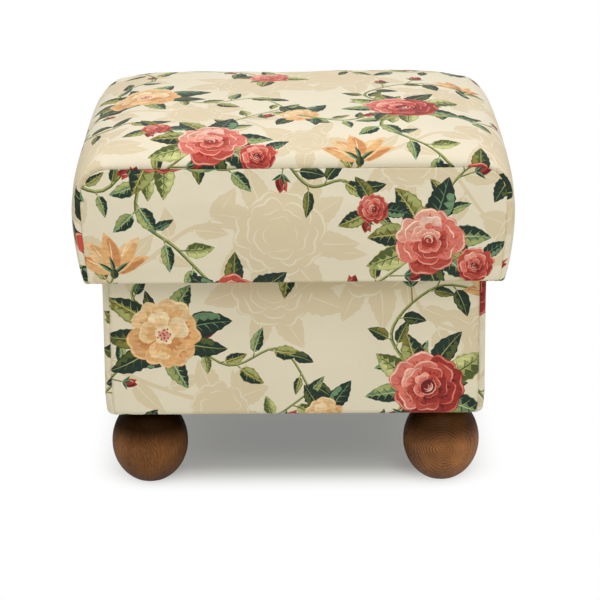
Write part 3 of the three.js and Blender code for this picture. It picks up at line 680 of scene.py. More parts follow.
def inside(points, polygon):
    """Which points lie inside a polygon."""
    x = points.real[:, None]
    y = points.imag[:, None]
    far = np.roll(polygon, -1)
    spans = (polygon.imag > y) != (far.imag > y)
    rise = np.where(far.imag == polygon.imag, 1, far.imag - polygon.imag)
    crossing = (far.real - polygon.real) * (y - polygon.imag) / rise + polygon.real
    return (spans & (x < crossing)).sum(axis=1) % 2 == 1


def dense(polygon):
    """A polygon with points added, so that no side is longer than the print's step."""
    out = []
    for a, b in zip(polygon, np.roll(polygon, -1)):
        count = max(1, math.ceil(abs(b - a) / PRINT_STEP))
        out += [a + (b - a) * k / count for k in range(count)]
    return np.array(out)


def triangulated(loops, knots=(), joins=()):
    """Points and triangles that keep all loops' sides and all joined pairs, with the knots between them."""
    points = []
    edges = []
    for loop in loops:
        start = len(points)
        points += list(loop)
        edges += [(k, k + 1) for k in range(start, len(points) - 1)] + [(len(points) - 1, start)]
    for ends in joins:
        edges.append((len(points), len(points) + 1))
        points += list(ends)
    points += list(knots)
    flat = [Vector((p.real, p.imag)) for p in points]
    out = delaunay_2d_cdt(flat, edges, [], 0, MERGE_DISTANCE, False)
    return np.array([complex(p[0], p[1]) for p in out[0]]), np.array(out[2])


def topmost(points, triangles, layers):
    """For each triangle, the number of the last layer that covers its middle, or -1."""
    middles = points[triangles].mean(axis=1)
    order = np.argsort(middles.real)
    middles = middles[order]
    found = np.full(len(triangles), -1)
    for number, (polygon, _) in enumerate(layers):
        start, end = np.searchsorted(middles.real, [polygon.real.min(), polygon.real.max()])
        part = middles[start:end]
        near = (part.imag > polygon.imag.min()) & (part.imag < polygon.imag.max())
        chosen = start + np.nonzero(near)[0]
        if len(chosen):
            found[chosen[inside(middles[chosen], polygon)]] = number
    top = np.empty_like(found)
    top[order] = found
    return top


def visible_joins(points, triangles, colours):
    """The sides between triangles of different colours, as pairs of points."""
    sides = np.concatenate([triangles[:, [0, 1]], triangles[:, [1, 2]], triangles[:, [2, 0]]])
    sides.sort(axis=1)
    owner = np.tile(np.arange(len(triangles)), 3)
    order = np.lexsort((sides[:, 1], sides[:, 0]))
    sides = sides[order]
    owner = owner[order]
    same = (sides[1:] == sides[:-1]).all(axis=1)
    differ = (colours[owner[1:]] != colours[owner[:-1]]).any(axis=1)
    return points[sides[1:][same & differ]]


def new_object(name, vertices, faces, body, material, normals=None):
    """A smooth mesh object that rides on a body."""
    mesh = bpy.data.meshes.new(name)
    mesh.from_pydata(np.asarray(vertices), [], [tuple(face) for face in faces])
    mesh.materials.append(material)
    mesh.shade_smooth()
    if normals is not None:
        mesh.normals_split_custom_set_from_vertices(normals)
    obj = bpy.data.objects.new(name, mesh)
    bpy.context.scene.collection.objects.link(obj)
    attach(obj, body)
    return obj


def add_uv(mesh, name, points):
    """A UV map from one flat place per vertex."""
    layer = mesh.uv_layers.new(name=name)
    corners = np.empty(len(mesh.loops), dtype=np.int32)
    mesh.loops.foreach_get("vertex_index", corners)
    flat = points[corners]
    layer.data.foreach_set("uv", np.stack([flat.real, flat.imag], axis=1).astype(np.float32).ravel())


def normals_of(surface, flat):
    """Smooth normals of a surface at flat places."""
    across = surface(flat + NORMAL_STEP) - surface(flat - NORMAL_STEP)
    up = surface(flat + 1j * NORMAL_STEP) - surface(flat - 1j * NORMAL_STEP)
    normal = np.cross(across, up)
    return normal / np.maximum(np.linalg.norm(normal, axis=1, keepdims=True), 1e-12)


def printed_panel(node, outline, knots, surface, cut_share, body):
    """One cut piece of the printed cloth, laid on its surface in place of a node."""
    shift = -in_tile(cut_share)
    border = dense(outline)
    layers = repeats_over(outline, shift)
    points, triangles = triangulated([border] + [dense(p) for p, _ in layers])
    palette = np.array([GROUND] + [colour for _, colour in layers])
    joins = visible_joins(points, triangles, palette[topmost(points, triangles, layers) + 1])
    joins = joins[inside(joins.mean(axis=1), outline)]
    points, triangles = triangulated([border], knots[inside(knots, outline)], joins)
    colours = palette[topmost(points, triangles, layers) + 1]
    places = surface(points)
    normals = normals_of(surface, points)
    obj = new_object(f"{node}_cloth", places, triangles, body, print_cloth, normals)
    colour_layer = obj.data.color_attributes.new("print", "FLOAT_COLOR", "CORNER")
    colour_layer.data.foreach_set("color", np.repeat(colours, 3, axis=0).astype(np.float32).ravel())
    add_uv(obj.data, "cloth", points - shift)
    low = border.real.min() + 1j * border.imag.min()
    span = max(np.ptp(border.real), np.ptp(border.imag))
    inner_share = 1 - 2 * BAKE_MARGIN_SHARE
    add_uv(obj.data, "OFBake", (points - low) / span * inner_share + BAKE_MARGIN_SHARE * (1 + 1j))
    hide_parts(node)


def knots_between(half, rows=SEAM_ROWS, spacing=KNOT_SPACING):
    """Places across a panel: even in the middle and closer near both seams."""
    inner = half - rows[-1]
    count = max(2, round(2 * inner / spacing))
    even = np.linspace(-inner, inner, count + 1)
    near = half - np.array(rows[:-1])
    return np.concatenate([-near, even, near[::-1]])


def mesh_knots(across, up):
    """All crossings of two rows of places."""
    return (np.asarray(across)[:, None] + 1j * np.asarray(up)[None, :]).ravel()


# Materials

def feed(tree, node, inputs):
    """Link each input to a socket or set it to a value."""
    for key, value in inputs.items():
        if isinstance(value, bpy.types.NodeSocket):
            tree.links.new(value, node.inputs[key])
        else:
            node.inputs[key].default_value = value


def add_node(tree, kind, inputs=(), **settings):
    made = tree.nodes.new("ShaderNode" + kind)
    for key, value in settings.items():
        setattr(made, key, value)
    feed(tree, made, dict(inputs))
    return made


def new_material(name):
    material = bpy.data.materials.new(name)
    material.use_nodes = True
    tree = material.node_tree
    return material, tree, tree.nodes["Principled BSDF"]


def math_node(tree, operation, *values):
    return add_node(tree, "Math", dict(enumerate(values)), operation=operation).outputs[0]


def times(tree, first, second):
    return math_node(tree, "MULTIPLY", first, second)


def plus(tree, first, second):
    return math_node(tree, "ADD", first, second)


def vector_node(tree, operation, *values):
    return add_node(tree, "VectorMath", dict(enumerate(values)), operation=operation).outputs[0]


def object_place(tree):
    return add_node(tree, "TexCoord").outputs["Object"]


def stretched_noise(tree, vector, scale, detail):
    """Noise from 0 to 1, with three scales per metre."""
    mapping = add_node(tree, "Mapping", {"Vector": vector, "Scale": scale})
    noise = add_node(tree, "TexNoise", {"Vector": mapping.outputs[0], "Scale": 1.0, "Detail": detail})
    return noise.outputs["Fac"]


def spread(tree, value, low, high, to_low, to_high):
    """A value between two limits, spread over another range."""
    ranged = add_node(tree, "MapRange", {0: value, 1: low, 2: high, 3: to_low, 4: to_high})
    return ranged.outputs[0]


def scaled_colour(tree, colour, factor):
    return add_node(tree, "VectorMath", {0: colour, "Scale": factor}, operation="SCALE").outputs[0]


def bump(tree, shader, height, strength, distance):
    made = add_node(tree, "Bump", {"Height": height, "Strength": strength, "Distance": distance})
    tree.links.new(made.outputs[0], shader.inputs["Normal"])


def woven(tree, uv, thread):
    """The relief of a plain weave, and how its threads differ in tone."""
    parts = add_node(tree, "SeparateXYZ", {0: uv}).outputs
    over, under = [math_node(tree, "SINE", times(tree, parts[k], math.tau / (2 * thread))) for k in (0, 1)]
    per_metre = 1 / thread
    warp = stretched_noise(tree, uv, (per_metre, per_metre / 28, 1), 1.0)
    weft = stretched_noise(tree, uv, (per_metre / 28, per_metre, 1), 1.0)
    threads = plus(tree, warp, weft)
    return plus(tree, times(tree, times(tree, over, under), 0.3), threads), threads


def make_print_cloth():
    """Printed cotton: the panels' own colours, with threads, a faint wash and strokes in the motifs."""
    material, tree, shader = new_material("printed_cotton")
    uv = add_node(tree, "UVMap", uv_map="cloth").outputs[0]
    paint = add_node(tree, "Attribute", attribute_name="print").outputs
    relief, threads = woven(tree, uv, THREAD)
    cloth = spread(tree, threads, 0.6, 1.4, 0.975, 1.02)
    wash = spread(tree, stretched_noise(tree, object_place(tree), (9, 9, 9), 3.0), 0.3, 0.7, 0.975, 1.02)
    strokes = spread(tree, stretched_noise(tree, uv, (95, 240, 1), 4.0), 0.3, 0.72, 0.82, 1.2)
    painted = plus(tree, times(tree, math_node(tree, "SUBTRACT", strokes, 1.0), paint["Alpha"]), 1.0)
    feed(tree, shader, {
        "Base Color": scaled_colour(tree, paint["Color"], times(tree, times(tree, cloth, wash), painted)),
        "Roughness": spread(tree, threads, 0.6, 1.4, 0.8, 0.94),
        "Sheen Weight": 0.12,
        "Sheen Roughness": 0.5,
        "Specular IOR Level": 0.25,
    })
    bump(tree, shader, relief, 0.25, PRINT_RELIEF)
    return material


def make_plain_cloth(name, tone, thread, depth, roughness=0.9):
    """A plain woven cloth of one tone, with threads of slightly different depth of colour."""
    material, tree, shader = new_material(name)
    uv = add_node(tree, "UVMap", uv_map="cloth").outputs[0]
    relief, threads = woven(tree, uv, thread)
    wash = spread(tree, stretched_noise(tree, object_place(tree), (14, 14, 14), 3.0), 0.3, 0.7, 0.93, 1.05)
    factor = times(tree, spread(tree, threads, 0.6, 1.4, 1 - depth, 1 + depth), wash)
    feed(tree, shader, {
        "Base Color": scaled_colour(tree, linear(tone), factor),
        "Roughness": roughness,
        "Specular IOR Level": 0.2,
    })
    bump(tree, shader, relief, 0.4, thread / 4)
    return material


def make_fibre(name, tone, scale):
    """Soft filling: short tangled fibres or the cells of foam."""
    material, tree, shader = new_material(name)
    tangle = stretched_noise(tree, object_place(tree), (scale, scale, scale * 2), 5.0)
    factor = spread(tree, tangle, 0.3, 0.7, 0.86, 1.04)
    feed(tree, shader, {"Base Color": scaled_colour(tree, linear(tone), factor), "Roughness": 1.0})
    bump(tree, shader, tangle, 0.5, FIBRE_RELIEF)
    return material


def ramp(tree, value, stops):
    """A colour ramp from shares and sRGB tones."""
    made = add_node(tree, "ValToRGB", {0: value})
    elements = made.color_ramp.elements
    while len(elements) < len(stops):
        elements.new(0.5)
    for element, (share, tone) in zip(elements, stops):
        element.position = share
        element.color = (*linear(tone), 1)
    return made.outputs[0]


def make_stained_wood():
    """Stained beech: faint year rings about the log's own axis, with fine pores along it. Its colour also
    carries painted shade, from the feet's stain attribute and towards each foot's outline.
    """
    material, tree, shader = new_material("stained_beech")
    place = add_node(tree, "Attribute", attribute_name="grain").outputs["Vector"]
    # The stain together with painted shade round the top and painted light on the outer side, as add_feet
    # writes it
    stain_and_painted_shading = add_node(tree, "Attribute", attribute_name="stain_and_painted_shading").outputs["Fac"]
    waver = add_node(tree, "TexNoise", {"Vector": place, "Scale": 17.0, "Detail": 2.0}).outputs["Color"]
    moved = vector_node(tree, "ADD", place, scaled_colour(tree, waver, RING_WAVER))
    flat = vector_node(tree, "MULTIPLY", moved, (1, 1, 0))
    distance = add_node(tree, "VectorMath", {0: flat}, operation="LENGTH").outputs["Value"]
    rings = math_node(tree, "SINE", times(tree, distance, math.tau / RING_SPACING))
    faded = spread(tree, distance, RING_FADE_FROM, RING_FADE_TO, 1.0, 0.2)
    rings = times(tree, spread(tree, rings, 0.2, 1.0, 0.0, 1.0), faded)
    broken = spread(tree, stretched_noise(tree, moved, (60, 60, 30), 2.0), 0.4, 0.62, 0.3, 1.0)
    pores = stretched_noise(tree, moved, (900, 900, 60), 3.0)
    cloud = stretched_noise(tree, place, (26, 26, 14), 3.0)
    mix = times(tree, times(tree, rings, broken), -0.31)
    mix = plus(tree, mix, times(tree, pores, 0.6))
    mix = plus(tree, mix, times(tree, cloud, 0.6))
    stops = ((0.36, (80, 48, 19)), (0.58, (131, 81, 38)), (0.8, (167, 109, 57)))
    # Painted shade: darker towards the outline, where the surface turns from the view; the gloss is weakened
    # there and where painted shade darkens the foot, so that reflections don't lighten it
    slant = add_node(tree, "LayerWeight", {"Blend": 0.5}).outputs["Facing"]
    stain_and_painted_edge_shade = times(tree, stain_and_painted_shading, spread(tree, slant, 0.2, 0.9, 1.0, 0.55))
    feed(tree, shader, {
        "Base Color": scaled_colour(tree, ramp(tree, mix, stops), stain_and_painted_edge_shade),
        "Roughness": spread(tree, pores, 0.3, 0.7, 0.52, 0.42),
        "Specular IOR Level": times(tree, stain_and_painted_edge_shade, spread(tree, slant, 0.3, 0.8, 0.26, 0.06)),
    })
    bump(tree, shader, pores, 0.1, PORE_RELIEF)
    return material


def make_grained(name, scales, detail, dark, bright, roughness, metallic, strength, relief):
    """Board, metal or plastic, whose stretched noise runs between two tones and gives the relief."""
    material, tree, shader = new_material(name)
    grain = stretched_noise(tree, object_place(tree), scales, detail)
    feed(tree, shader, {
        "Base Color": ramp(tree, grain, ((0.3, dark), (0.7, bright))),
        "Roughness": spread(tree, grain, 0.3, 0.7, *roughness),
        "Metallic": metallic,
    })
    bump(tree, shader, grain, strength, relief)
    return material


print_cloth = make_print_cloth()
lining_cloth = make_plain_cloth("lining_calico", (206, 196, 168), LINING_THREAD, 0.07)
under_cloth = make_plain_cloth("black_cambric", (38, 36, 33), UNDER_THREAD, 0.16, 0.85)
thread_cotton = make_fibre("sewing_thread", (196, 180, 146), 900)
wadding_fibre = make_fibre("polyester_wadding", (240, 238, 230), 220)
foam_cells = make_fibre("cut_foam", (232, 214, 160), 420)
stained_wood = make_stained_wood()
board_wood = make_grained(
    "furniture_board", (18, 260, 260), 4.0, (170, 132, 88), (214, 182, 134),
    roughness=(0.75, 0.75), metallic=0.0, strength=0.2, relief=BOARD_RELIEF,
)
zinc_steel = make_grained(
    "zinc_plated_steel", (60, 1400, 1400), 3.0, (132, 133, 134), (176, 177, 176),
    roughness=(0.27, 0.43), metallic=1.0, strength=0.15, relief=SMOOTH_RELIEF,
)
nylon = make_grained(
    "moulded_nylon", (500, 500, 500), 2.0, (196, 194, 186), (222, 220, 212),
    roughness=(0.5, 0.5), metallic=0.0, strength=0.2, relief=SMOOTH_RELIEF,
)

# The lid's surface

def roll_share(share, power, steepness):
    """How full the lid is at a share of its depth: 1 in the middle and 0 at the seam."""
    return np.maximum(0, 1 - np.abs(share) ** power) ** steepness


def lid_half_section(depth_share):
    """Half of an upright section across X, from the middle of the crown to the edge of the flange."""
    side_swell = LID_SIDE_SWELL * roll_share(depth_share, SIDE_ROLL_POWER, SIDE_ROLL_STEEPNESS)
    crown = LID_CROWN * roll_share(depth_share, CROWN_ROLL_POWER, CROWN_ROLL_STEEPNESS)
    flat_half = lid_half_width - LID_CORNER_RADIUS
    shoulder = lid_seam_top - LID_CORNER_RADIUS
    across = np.linspace(0, 1, CROWN_STEPS)
    top_x = flat_half * across
    top_z = lid_seam_top + crown * (1 - CROWN_FALL_SHARE * across ** CROWN_FALL_POWER)
    angle = np.linspace(math.pi / 2, 0, WALL_STEPS)[1:]
    edge_crown = crown * (1 - CROWN_FALL_SHARE)
    edge_swell = side_swell * HIGH_SWELL_SHARE
    reach = LID_CORNER_RADIUS + edge_swell * np.cos(angle) ** 2 + edge_crown * np.sin(angle) ** 2
    arc_x = flat_half + reach * np.cos(angle)
    arc_z = shoulder + reach * np.sin(angle)
    base = lid_base + BAND_LIFT
    wall_z = np.linspace(shoulder, base + LID_EDGE_ROLL, WALL_STEPS)[1:]
    rise = (wall_z - lid_base) / (shoulder - lid_base)
    fullness = LOW_SWELL_SHARE + (HIGH_SWELL_SHARE - LOW_SWELL_SHARE) * rise
    fullness = fullness - LOW_PINCH_SHARE * (1 - rise) ** LOW_PINCH_POWER
    wall_x = lid_half_width - LID_DRAW_IN * (1 - rise) ** 2 + side_swell * fullness
    turn = np.linspace(0, math.pi / 2, ROLL_STEPS)[1:]
    roll_x = wall_x[-1] - LID_EDGE_ROLL * (1 - np.cos(turn))
    roll_z = wall_z[-1] - LID_EDGE_ROLL * np.sin(turn)
    flange_x = np.linspace(roll_x[-1], opening_half_width, FLANGE_STEPS)[1:]
    flange_z = np.full(len(flange_x), base)
    x = np.concatenate([top_x, arc_x, wall_x, roll_x, flange_x])
    z = np.concatenate([top_z, arc_z, wall_z, roll_z, flange_z])
    return x, z, roll_x[-1] - opening_half_width


def lengths_along(x, y):
    """How far along a line each of its points lies."""
    return np.concatenate([[0], np.cumsum(np.hypot(np.diff(x), np.diff(y)))])


def quarter_arc(radius):
    return radius * math.pi / 2


def stacked(x, y, z):
    """Rows of X, Y and Z as places in space."""
    return np.stack([x, y, z], axis=1)


def ramped(distance, width):
    """A share that rises evenly from 0 to 1 over a width."""
    return np.clip(distance / width, 0, 1)


def eased(share):
    """A share from 0 to 1 that starts and ends softly."""
    return share * share * (3 - 2 * share)


near_seam_shares = 1 - np.linspace(1, 0, SEAM_STEPS) ** 3
crown_line = LID_CROWN * roll_share(near_seam_shares, CROWN_ROLL_POWER, CROWN_ROLL_STEEPNESS)
crown_lengths = lengths_along(lid_half_depth * near_seam_shares, crown_line)
band_half_length = crown_lengths[-1]
station_places = np.linspace(-band_half_length, band_half_length, STATION_STEPS)


def make_lid_table():
    """The band's surface: rows run from front to back, columns from left to right, evenly along the cloth.

    With it come half the cloth's width and the width of its flange at each row.
    """
    rows = []
    half_widths = []
    flanges = []
    for place in station_places:
        share = np.interp(abs(place), crown_lengths, near_seam_shares)
        x, z, flange = lid_half_section(share)
        along = lengths_along(x, z)
        even = np.linspace(0, along[-1], SECTION_STEPS // 2 + 1)
        x = np.interp(even, along, x)
        z = np.interp(even, along, z)
        half = stacked(x, np.full(len(x), math.copysign(lid_half_depth * share, place)), z)
        other = half[:0:-1] * [-1, 1, 1]
        rows.append(np.concatenate([other, half]))
        half_widths.append(along[-1])
        flanges.append(flange)
    return np.array(rows), np.array(half_widths), np.array(flanges)


def on_table(table, row, column):
    """Places between a table's entries, from fractions of its rows and columns."""
    row = np.clip(row, 0, table.shape[0] - 1.0001)
    column = np.clip(column, 0, table.shape[1] - 1.0001)
    r = row.astype(int)
    c = column.astype(int)
    fr = (row - r)[:, None]
    fc = (column - c)[:, None]
    low = table[r, c] * (1 - fc) + table[r, c + 1] * fc
    high = table[r + 1, c] * (1 - fc) + table[r + 1, c + 1] * fc
    return low * (1 - fr) + high * fr


lid_table, lid_half_lengths, lid_flanges = make_lid_table()


def seam_normals():
    """The outward direction of the seam's outline in its own plane, at each column of the table."""
    line = lid_table[0][:, [0, 2]]
    along = np.gradient(line, axis=0)
    normal = stacked(-along[:, 1], np.zeros(len(line)), along[:, 0])
    return normal / np.linalg.norm(normal, axis=1, keepdims=True)


seam_out = seam_normals()


def groove(distance):
    """How deep a seam pulls the cloth in, at a distance from it."""
    return GROOVE_DEPTH * np.maximum(0, 1 - np.maximum(distance, 0) / GROOVE_WIDTH) ** 2.2


def waves(points, size, seed):
    """A smooth random height from -1 to 1 over space, with bumps of about the size given."""
    rng = np.random.default_rng(seed)
    total = np.zeros(len(points))
    for _ in range(7):
        direction = rng.normal(size=3)
        direction *= rng.uniform(0.6, 1.5) * math.tau / size / np.linalg.norm(direction)
        total += np.sin(points @ direction + rng.uniform(0, math.tau))
    return total / 4


def puckers(along, distance, seed):
    """Small gathers beside a seam, which die away from it."""
    rng = np.random.default_rng(seed)
    total = np.zeros(len(along))
    for size in PUCKER_LENGTHS:
        total += np.sin(along * math.tau / size + rng.uniform(0, math.tau))
    return PUCKER_DEPTH * total * np.exp(-np.maximum(distance, 0) / PUCKER_FADE)


# The folds of the lid's cover, from a cloth simulation of its padded form

facing_fold_x = np.linspace(-band_high.x, band_high.x, FACING_FOLD_COLUMNS)
facing_fold_z = np.linspace(lid_base, lid_seam_top, FACING_FOLD_ROWS)


def closed_lid_form():
    """The lid's outside as one closed mesh, from every few rows and columns of its table."""
    rings = lid_table[::RING_STEP, ::RING_STEP]
    count = rings.shape[1]
    form = bmesh.new()
    verts = [form.verts.new(place) for place in rings.reshape(-1, 3)]
    for here in range(0, (len(rings) - 1) * count, count):
        for a in range(count):
            b = (a + 1) % count
            corners = (here + a, here + b, here + count + b, here + count + a)
            form.faces.new([verts[corner] for corner in corners])
    form.faces.new(verts[:count])
    form.faces.new(verts[-count:])
    bmesh.ops.recalc_face_normals(form, faces=form.faces)
    mesh = bpy.data.meshes.new("blown_cover")
    form.to_mesh(mesh)
    form.free()
    return mesh


def blown_cover():
    """The cover's points, how far each moves out as the cover is blown up, and the pairs of its edges."""
    cover = bpy.data.objects.new("blown_cover", closed_lid_form())
    scene = bpy.context.scene
    scene.collection.objects.link(cover)
    remesh = cover.modifiers.new("remesh", "REMESH")
    remesh.mode = "VOXEL"
    remesh.voxel_size = FOLD_VOXEL
    cover.data = bpy.data.meshes.new_from_object(cover.evaluated_get(bpy.context.evaluated_depsgraph_get()))
    cover.modifiers.remove(remesh)
    start = np.array([v.co for v in cover.data.vertices])
    normals = np.array([v.normal for v in cover.data.vertices])
    edges = np.array([edge.vertices for edge in cover.data.edges])
    pinned = cover.vertex_groups.new(name="pinned")
    pinned.add(np.nonzero(start[:, 2] < lid_base + FOLD_PINNED)[0].tolist(), 1.0, "REPLACE")
    cloth = cover.modifiers.new("cloth", "CLOTH")
    cloth.settings.vertex_group_mass = "pinned"
    cloth.settings.use_pressure = True
    cloth.settings.uniform_pressure_force = FOLD_PRESSURE
    cloth.settings.effector_weights.gravity = 0
    cloth.point_cache.frame_start = 1
    cloth.point_cache.frame_end = FOLD_FRAMES
    for frame_number in range(1, FOLD_FRAMES + 1):
        scene.frame_set(frame_number)
    blown = cover.evaluated_get(bpy.context.evaluated_depsgraph_get()).data
    end = np.array([v.co for v in blown.vertices])
    bpy.data.objects.remove(cover)
    scene.frame_set(1)
    return start, np.clip(((end - start) * normals).sum(axis=1), -FOLD_CAP, FOLD_CAP), edges


def evened(values, edges, rounds):
    """Values on a mesh's points, averaged with their neighbours' a number of times."""
    neighbours = np.bincount(edges.ravel(), minlength=len(values))
    for _ in range(rounds):
        total = np.bincount(edges[:, 0], values[edges[:, 1]], len(values))
        total += np.bincount(edges[:, 1], values[edges[:, 0]], len(values))
        values = (values + total) / (neighbours + 1)
    return values


def simulated_folds():
    """A function that gives how far the cloth stands out at places on the lid, from the blown-up cover.

    The form's own fullness is taken off again, so that only the folds that the cloth makes are left.
    """
    start, moved, edges = blown_cover()
    folds = evened(moved, edges, FOLD_SOFTENING) - evened(moved, edges, FULLNESS_SOFTENING)
    folds = FOLD_LIMIT * np.tanh(folds / FOLD_LIMIT)
    tree = kdtree.KDTree(len(start))
    for number, place in enumerate(start):
        tree.insert(place, number)
    tree.balance()

    def folds_at(places):
        flat = places.reshape(-1, 3)
        out = np.empty(len(flat))
        for k, place in enumerate(flat):
            near = tree.find_n(place, 4)
            weights = np.array([1 / (distance + FOLD_VOXEL / 10) for _, _, distance in near])
            out[k] = (folds[[number for _, number, _ in near]] * weights).sum() / weights.sum()
        return out.reshape(places.shape[:-1])

    return folds_at


def fold_tables():
    """How far the folds stand out over the band and over the front and back facings."""
    band = np.zeros(lid_table[::BAND_FOLD_STEP, ::BAND_FOLD_STEP].shape[:2])
    facings = {sign: np.zeros((len(facing_fold_x), len(facing_fold_z))) for sign in (-1, 1)}
    folds_at = simulated_folds()
    band = folds_at(lid_table[::BAND_FOLD_STEP, ::BAND_FOLD_STEP])
    x, z = np.meshgrid(facing_fold_x, facing_fold_z, indexing="ij")
    for sign in facings:
        facings[sign] = folds_at(np.stack([x, np.full(x.shape, sign * lid_half_depth), z], axis=-1))
    return band[..., None], {sign: table[..., None] for sign, table in facings.items()}


band_folds, facing_folds = fold_tables()


def band_surface(flat):
    """The lid's band: across from the left flange over the crown to the right one, up from front to back."""
    edge = np.interp(flat.imag, station_places, lid_half_lengths)
    column = (flat.real / edge + 1) / 2 * (SECTION_STEPS - 1)
    row = (flat.imag / band_half_length + 1) / 2 * (STATION_STEPS - 1)
    place = on_table(lid_table, row, column)
    out = on_table(seam_out[None].repeat(2, axis=0), np.zeros(len(flat)), column)
    end = np.sign(flat.imag)[:, None] * np.array([[0, 1, 0]])
    distance = band_half_length - np.abs(flat.imag)
    inward = -(out + end) / math.sqrt(2)
    depth = groove(distance) + puckers(flat.real, distance, 3)
    settled = ramped(place[:, 2] - lid_base - LID_EDGE_ROLL * 2, SETTLE_HEIGHT)
    sag = LID_RIPPLE * waves(place, LID_RIPPLE_LENGTH, 8) * ramped(distance, RIPPLE_FADE) * settled
    fold = on_table(band_folds, row / BAND_FOLD_STEP, column / BAND_FOLD_STEP)[:, 0]
    sag = sag + fold * ramped(distance, FOLD_FADE) * settled
    return place + inward * depth[:, None] + out * sag[:, None]


# The lid's facings

def facing_outline():
    """The seam round a facing, from its lower left to its lower right, as X and Z."""
    start = int(np.argmax(lid_table[0][:, 2] > lid_base + LID_EDGE_ROLL * 0.99))
    line = lid_table[0][start:SECTION_STEPS - start][:, [0, 2]]
    along = lengths_along(line[:, 0], line[:, 1])
    even = np.linspace(0, along[-1], FACING_STEPS)
    return np.interp(even, along, line[:, 0]) + 1j * np.interp(even, along, line[:, 1])


outline_seam = facing_outline()
facing_middle = 1j * (lid_base + lid_seam_top) / 2
facing_turn = lid_base + LID_EDGE_ROLL


def nearest_on(line, points):
    """The distance from points to an open line, and the outward direction there."""
    mid = (line[1:] + line[:-1]) / 2
    along = line[1:] - line[:-1]
    step = along / np.abs(along)
    offset = (points[:, None] - mid[None, :]) / step[None, :]
    slide = np.clip(offset.real, -np.abs(along) / 2, np.abs(along) / 2)
    gap = np.abs(offset - slide)
    best = gap.argmin(axis=1)
    return gap[np.arange(len(points)), best], (1j * step)[best]


def facing_surface(sign):
    """The front facing for -1 and the back one for 1, cut flat as its X and Z with the flange below."""
    polar = outline_seam - facing_middle
    angles = np.unwrap(np.angle(polar))
    order = np.argsort(angles)
    angles = angles[order]
    radii = np.abs(polar)[order]

    def surface(flat):
        x = flat.real * -sign
        level = np.maximum(flat.imag, facing_turn)
        place = x + 1j * level
        ray = place - facing_middle
        turn = np.angle(ray)
        turn = np.where(turn > angles[-1], turn - math.tau, turn)
        turn = np.where(turn < angles[0], turn + math.tau, turn)
        lower = abs(facing_middle.imag - facing_turn) / np.maximum(-np.sin(turn), 1e-6)
        reach = np.where(turn > angles[-1], lower, np.interp(turn, angles, radii))
        share = np.clip(np.abs(ray) / reach, 0, 1)
        out_y = lid_half_depth + LID_FACE_SWELL * (1 - share ** 2)
        distance, side = nearest_on(outline_seam, place)
        depth = groove(distance) + puckers(place.real + place.imag, distance, 4)
        place = place - side * depth / math.sqrt(2)
        out_y = out_y - depth / math.sqrt(2)
        ripple = waves(stacked(place.real, out_y * 0, place.imag), FACING_RIPPLE_LENGTH, 5 + sign)
        out_y = out_y + LID_RIPPLE * ripple * ramped(distance, RIPPLE_FADE)
        column = np.interp(place.real, facing_fold_x, np.arange(len(facing_fold_x)))
        row = np.interp(place.imag, facing_fold_z, np.arange(len(facing_fold_z)))
        fold = on_table(facing_folds[sign], column, row)[:, 0] * FACING_FOLD_SHARE
        out_y = out_y + fold * ramped(distance, FOLD_FADE) * ramped(place.imag - facing_turn, SETTLE_HEIGHT)
        past = np.maximum(facing_turn - flat.imag, 0)
        roll = np.minimum(past, quarter_arc(LID_EDGE_ROLL))
        out_y = out_y - LID_EDGE_ROLL * (1 - np.cos(roll / LID_EDGE_ROLL)) - (past - roll)
        z = place.imag - LID_EDGE_ROLL * np.sin(roll / LID_EDGE_ROLL)
        return stacked(place.real, sign * out_y, z)

    return surface


roll_rows = LID_EDGE_ROLL * ROLL_ROW_SHARES


def band_knots():
    """Knots over the band: close together at the seams and round the lower edges."""
    rows = []
    for up in knots_between(band_half_length):
        turn = np.interp(up, station_places, lid_half_lengths - lid_flanges)
        edge = np.interp(up, station_places, lid_half_lengths)
        wall = turn - roll_rows[-1]
        even = np.linspace(-wall, wall, round(2 * wall / KNOT_SPACING))
        rolled = turn - roll_rows[:-1]
        flange = np.array([(turn + edge) / 2])
        rows.append(np.concatenate([even, rolled, -rolled, flange, -flange]) + 1j * up)
    return np.concatenate(rows)


def add_lid_cover():
    """The band over the lid, and the front and back facings."""
    side = (lid_half_lengths + 1j * station_places)[::OUTLINE_STEP]
    outline = np.concatenate([side, -side.conj()[::-1]])
    printed_panel("lid_cover_band", outline, band_knots(), band_surface, BAND_CUT_SHARE, "lid")
    flange_end = 1j * (facing_turn - roll_rows[-1] - facing_flange)
    mitre = outline_seam[-1].real - LID_EDGE_ROLL - facing_flange
    outline = np.concatenate([outline_seam[::-1], [-mitre + flange_end, mitre + flange_end]])
    up = np.concatenate([facing_turn - roll_rows, np.arange(facing_turn, lid_seam_top, KNOT_SPACING)[1:]])
    _, side = nearest_on(outline_seam, outline_seam)
    rows = [outline_seam[1:-1] - side[1:-1] * row for row in SEAM_ROWS[:-1]]
    knots = np.concatenate([mesh_knots(knots_between(lid_half_width), up)] + rows)
    for sign, end, cut_share in ((-1, "front", FACING_CUT_SHARE), (1, "back", BACK_FACING_CUT_SHARE)):
        printed_panel(f"lid_cover_{end}", outline, knots, facing_surface(sign), cut_share, "lid")


# The box's surface

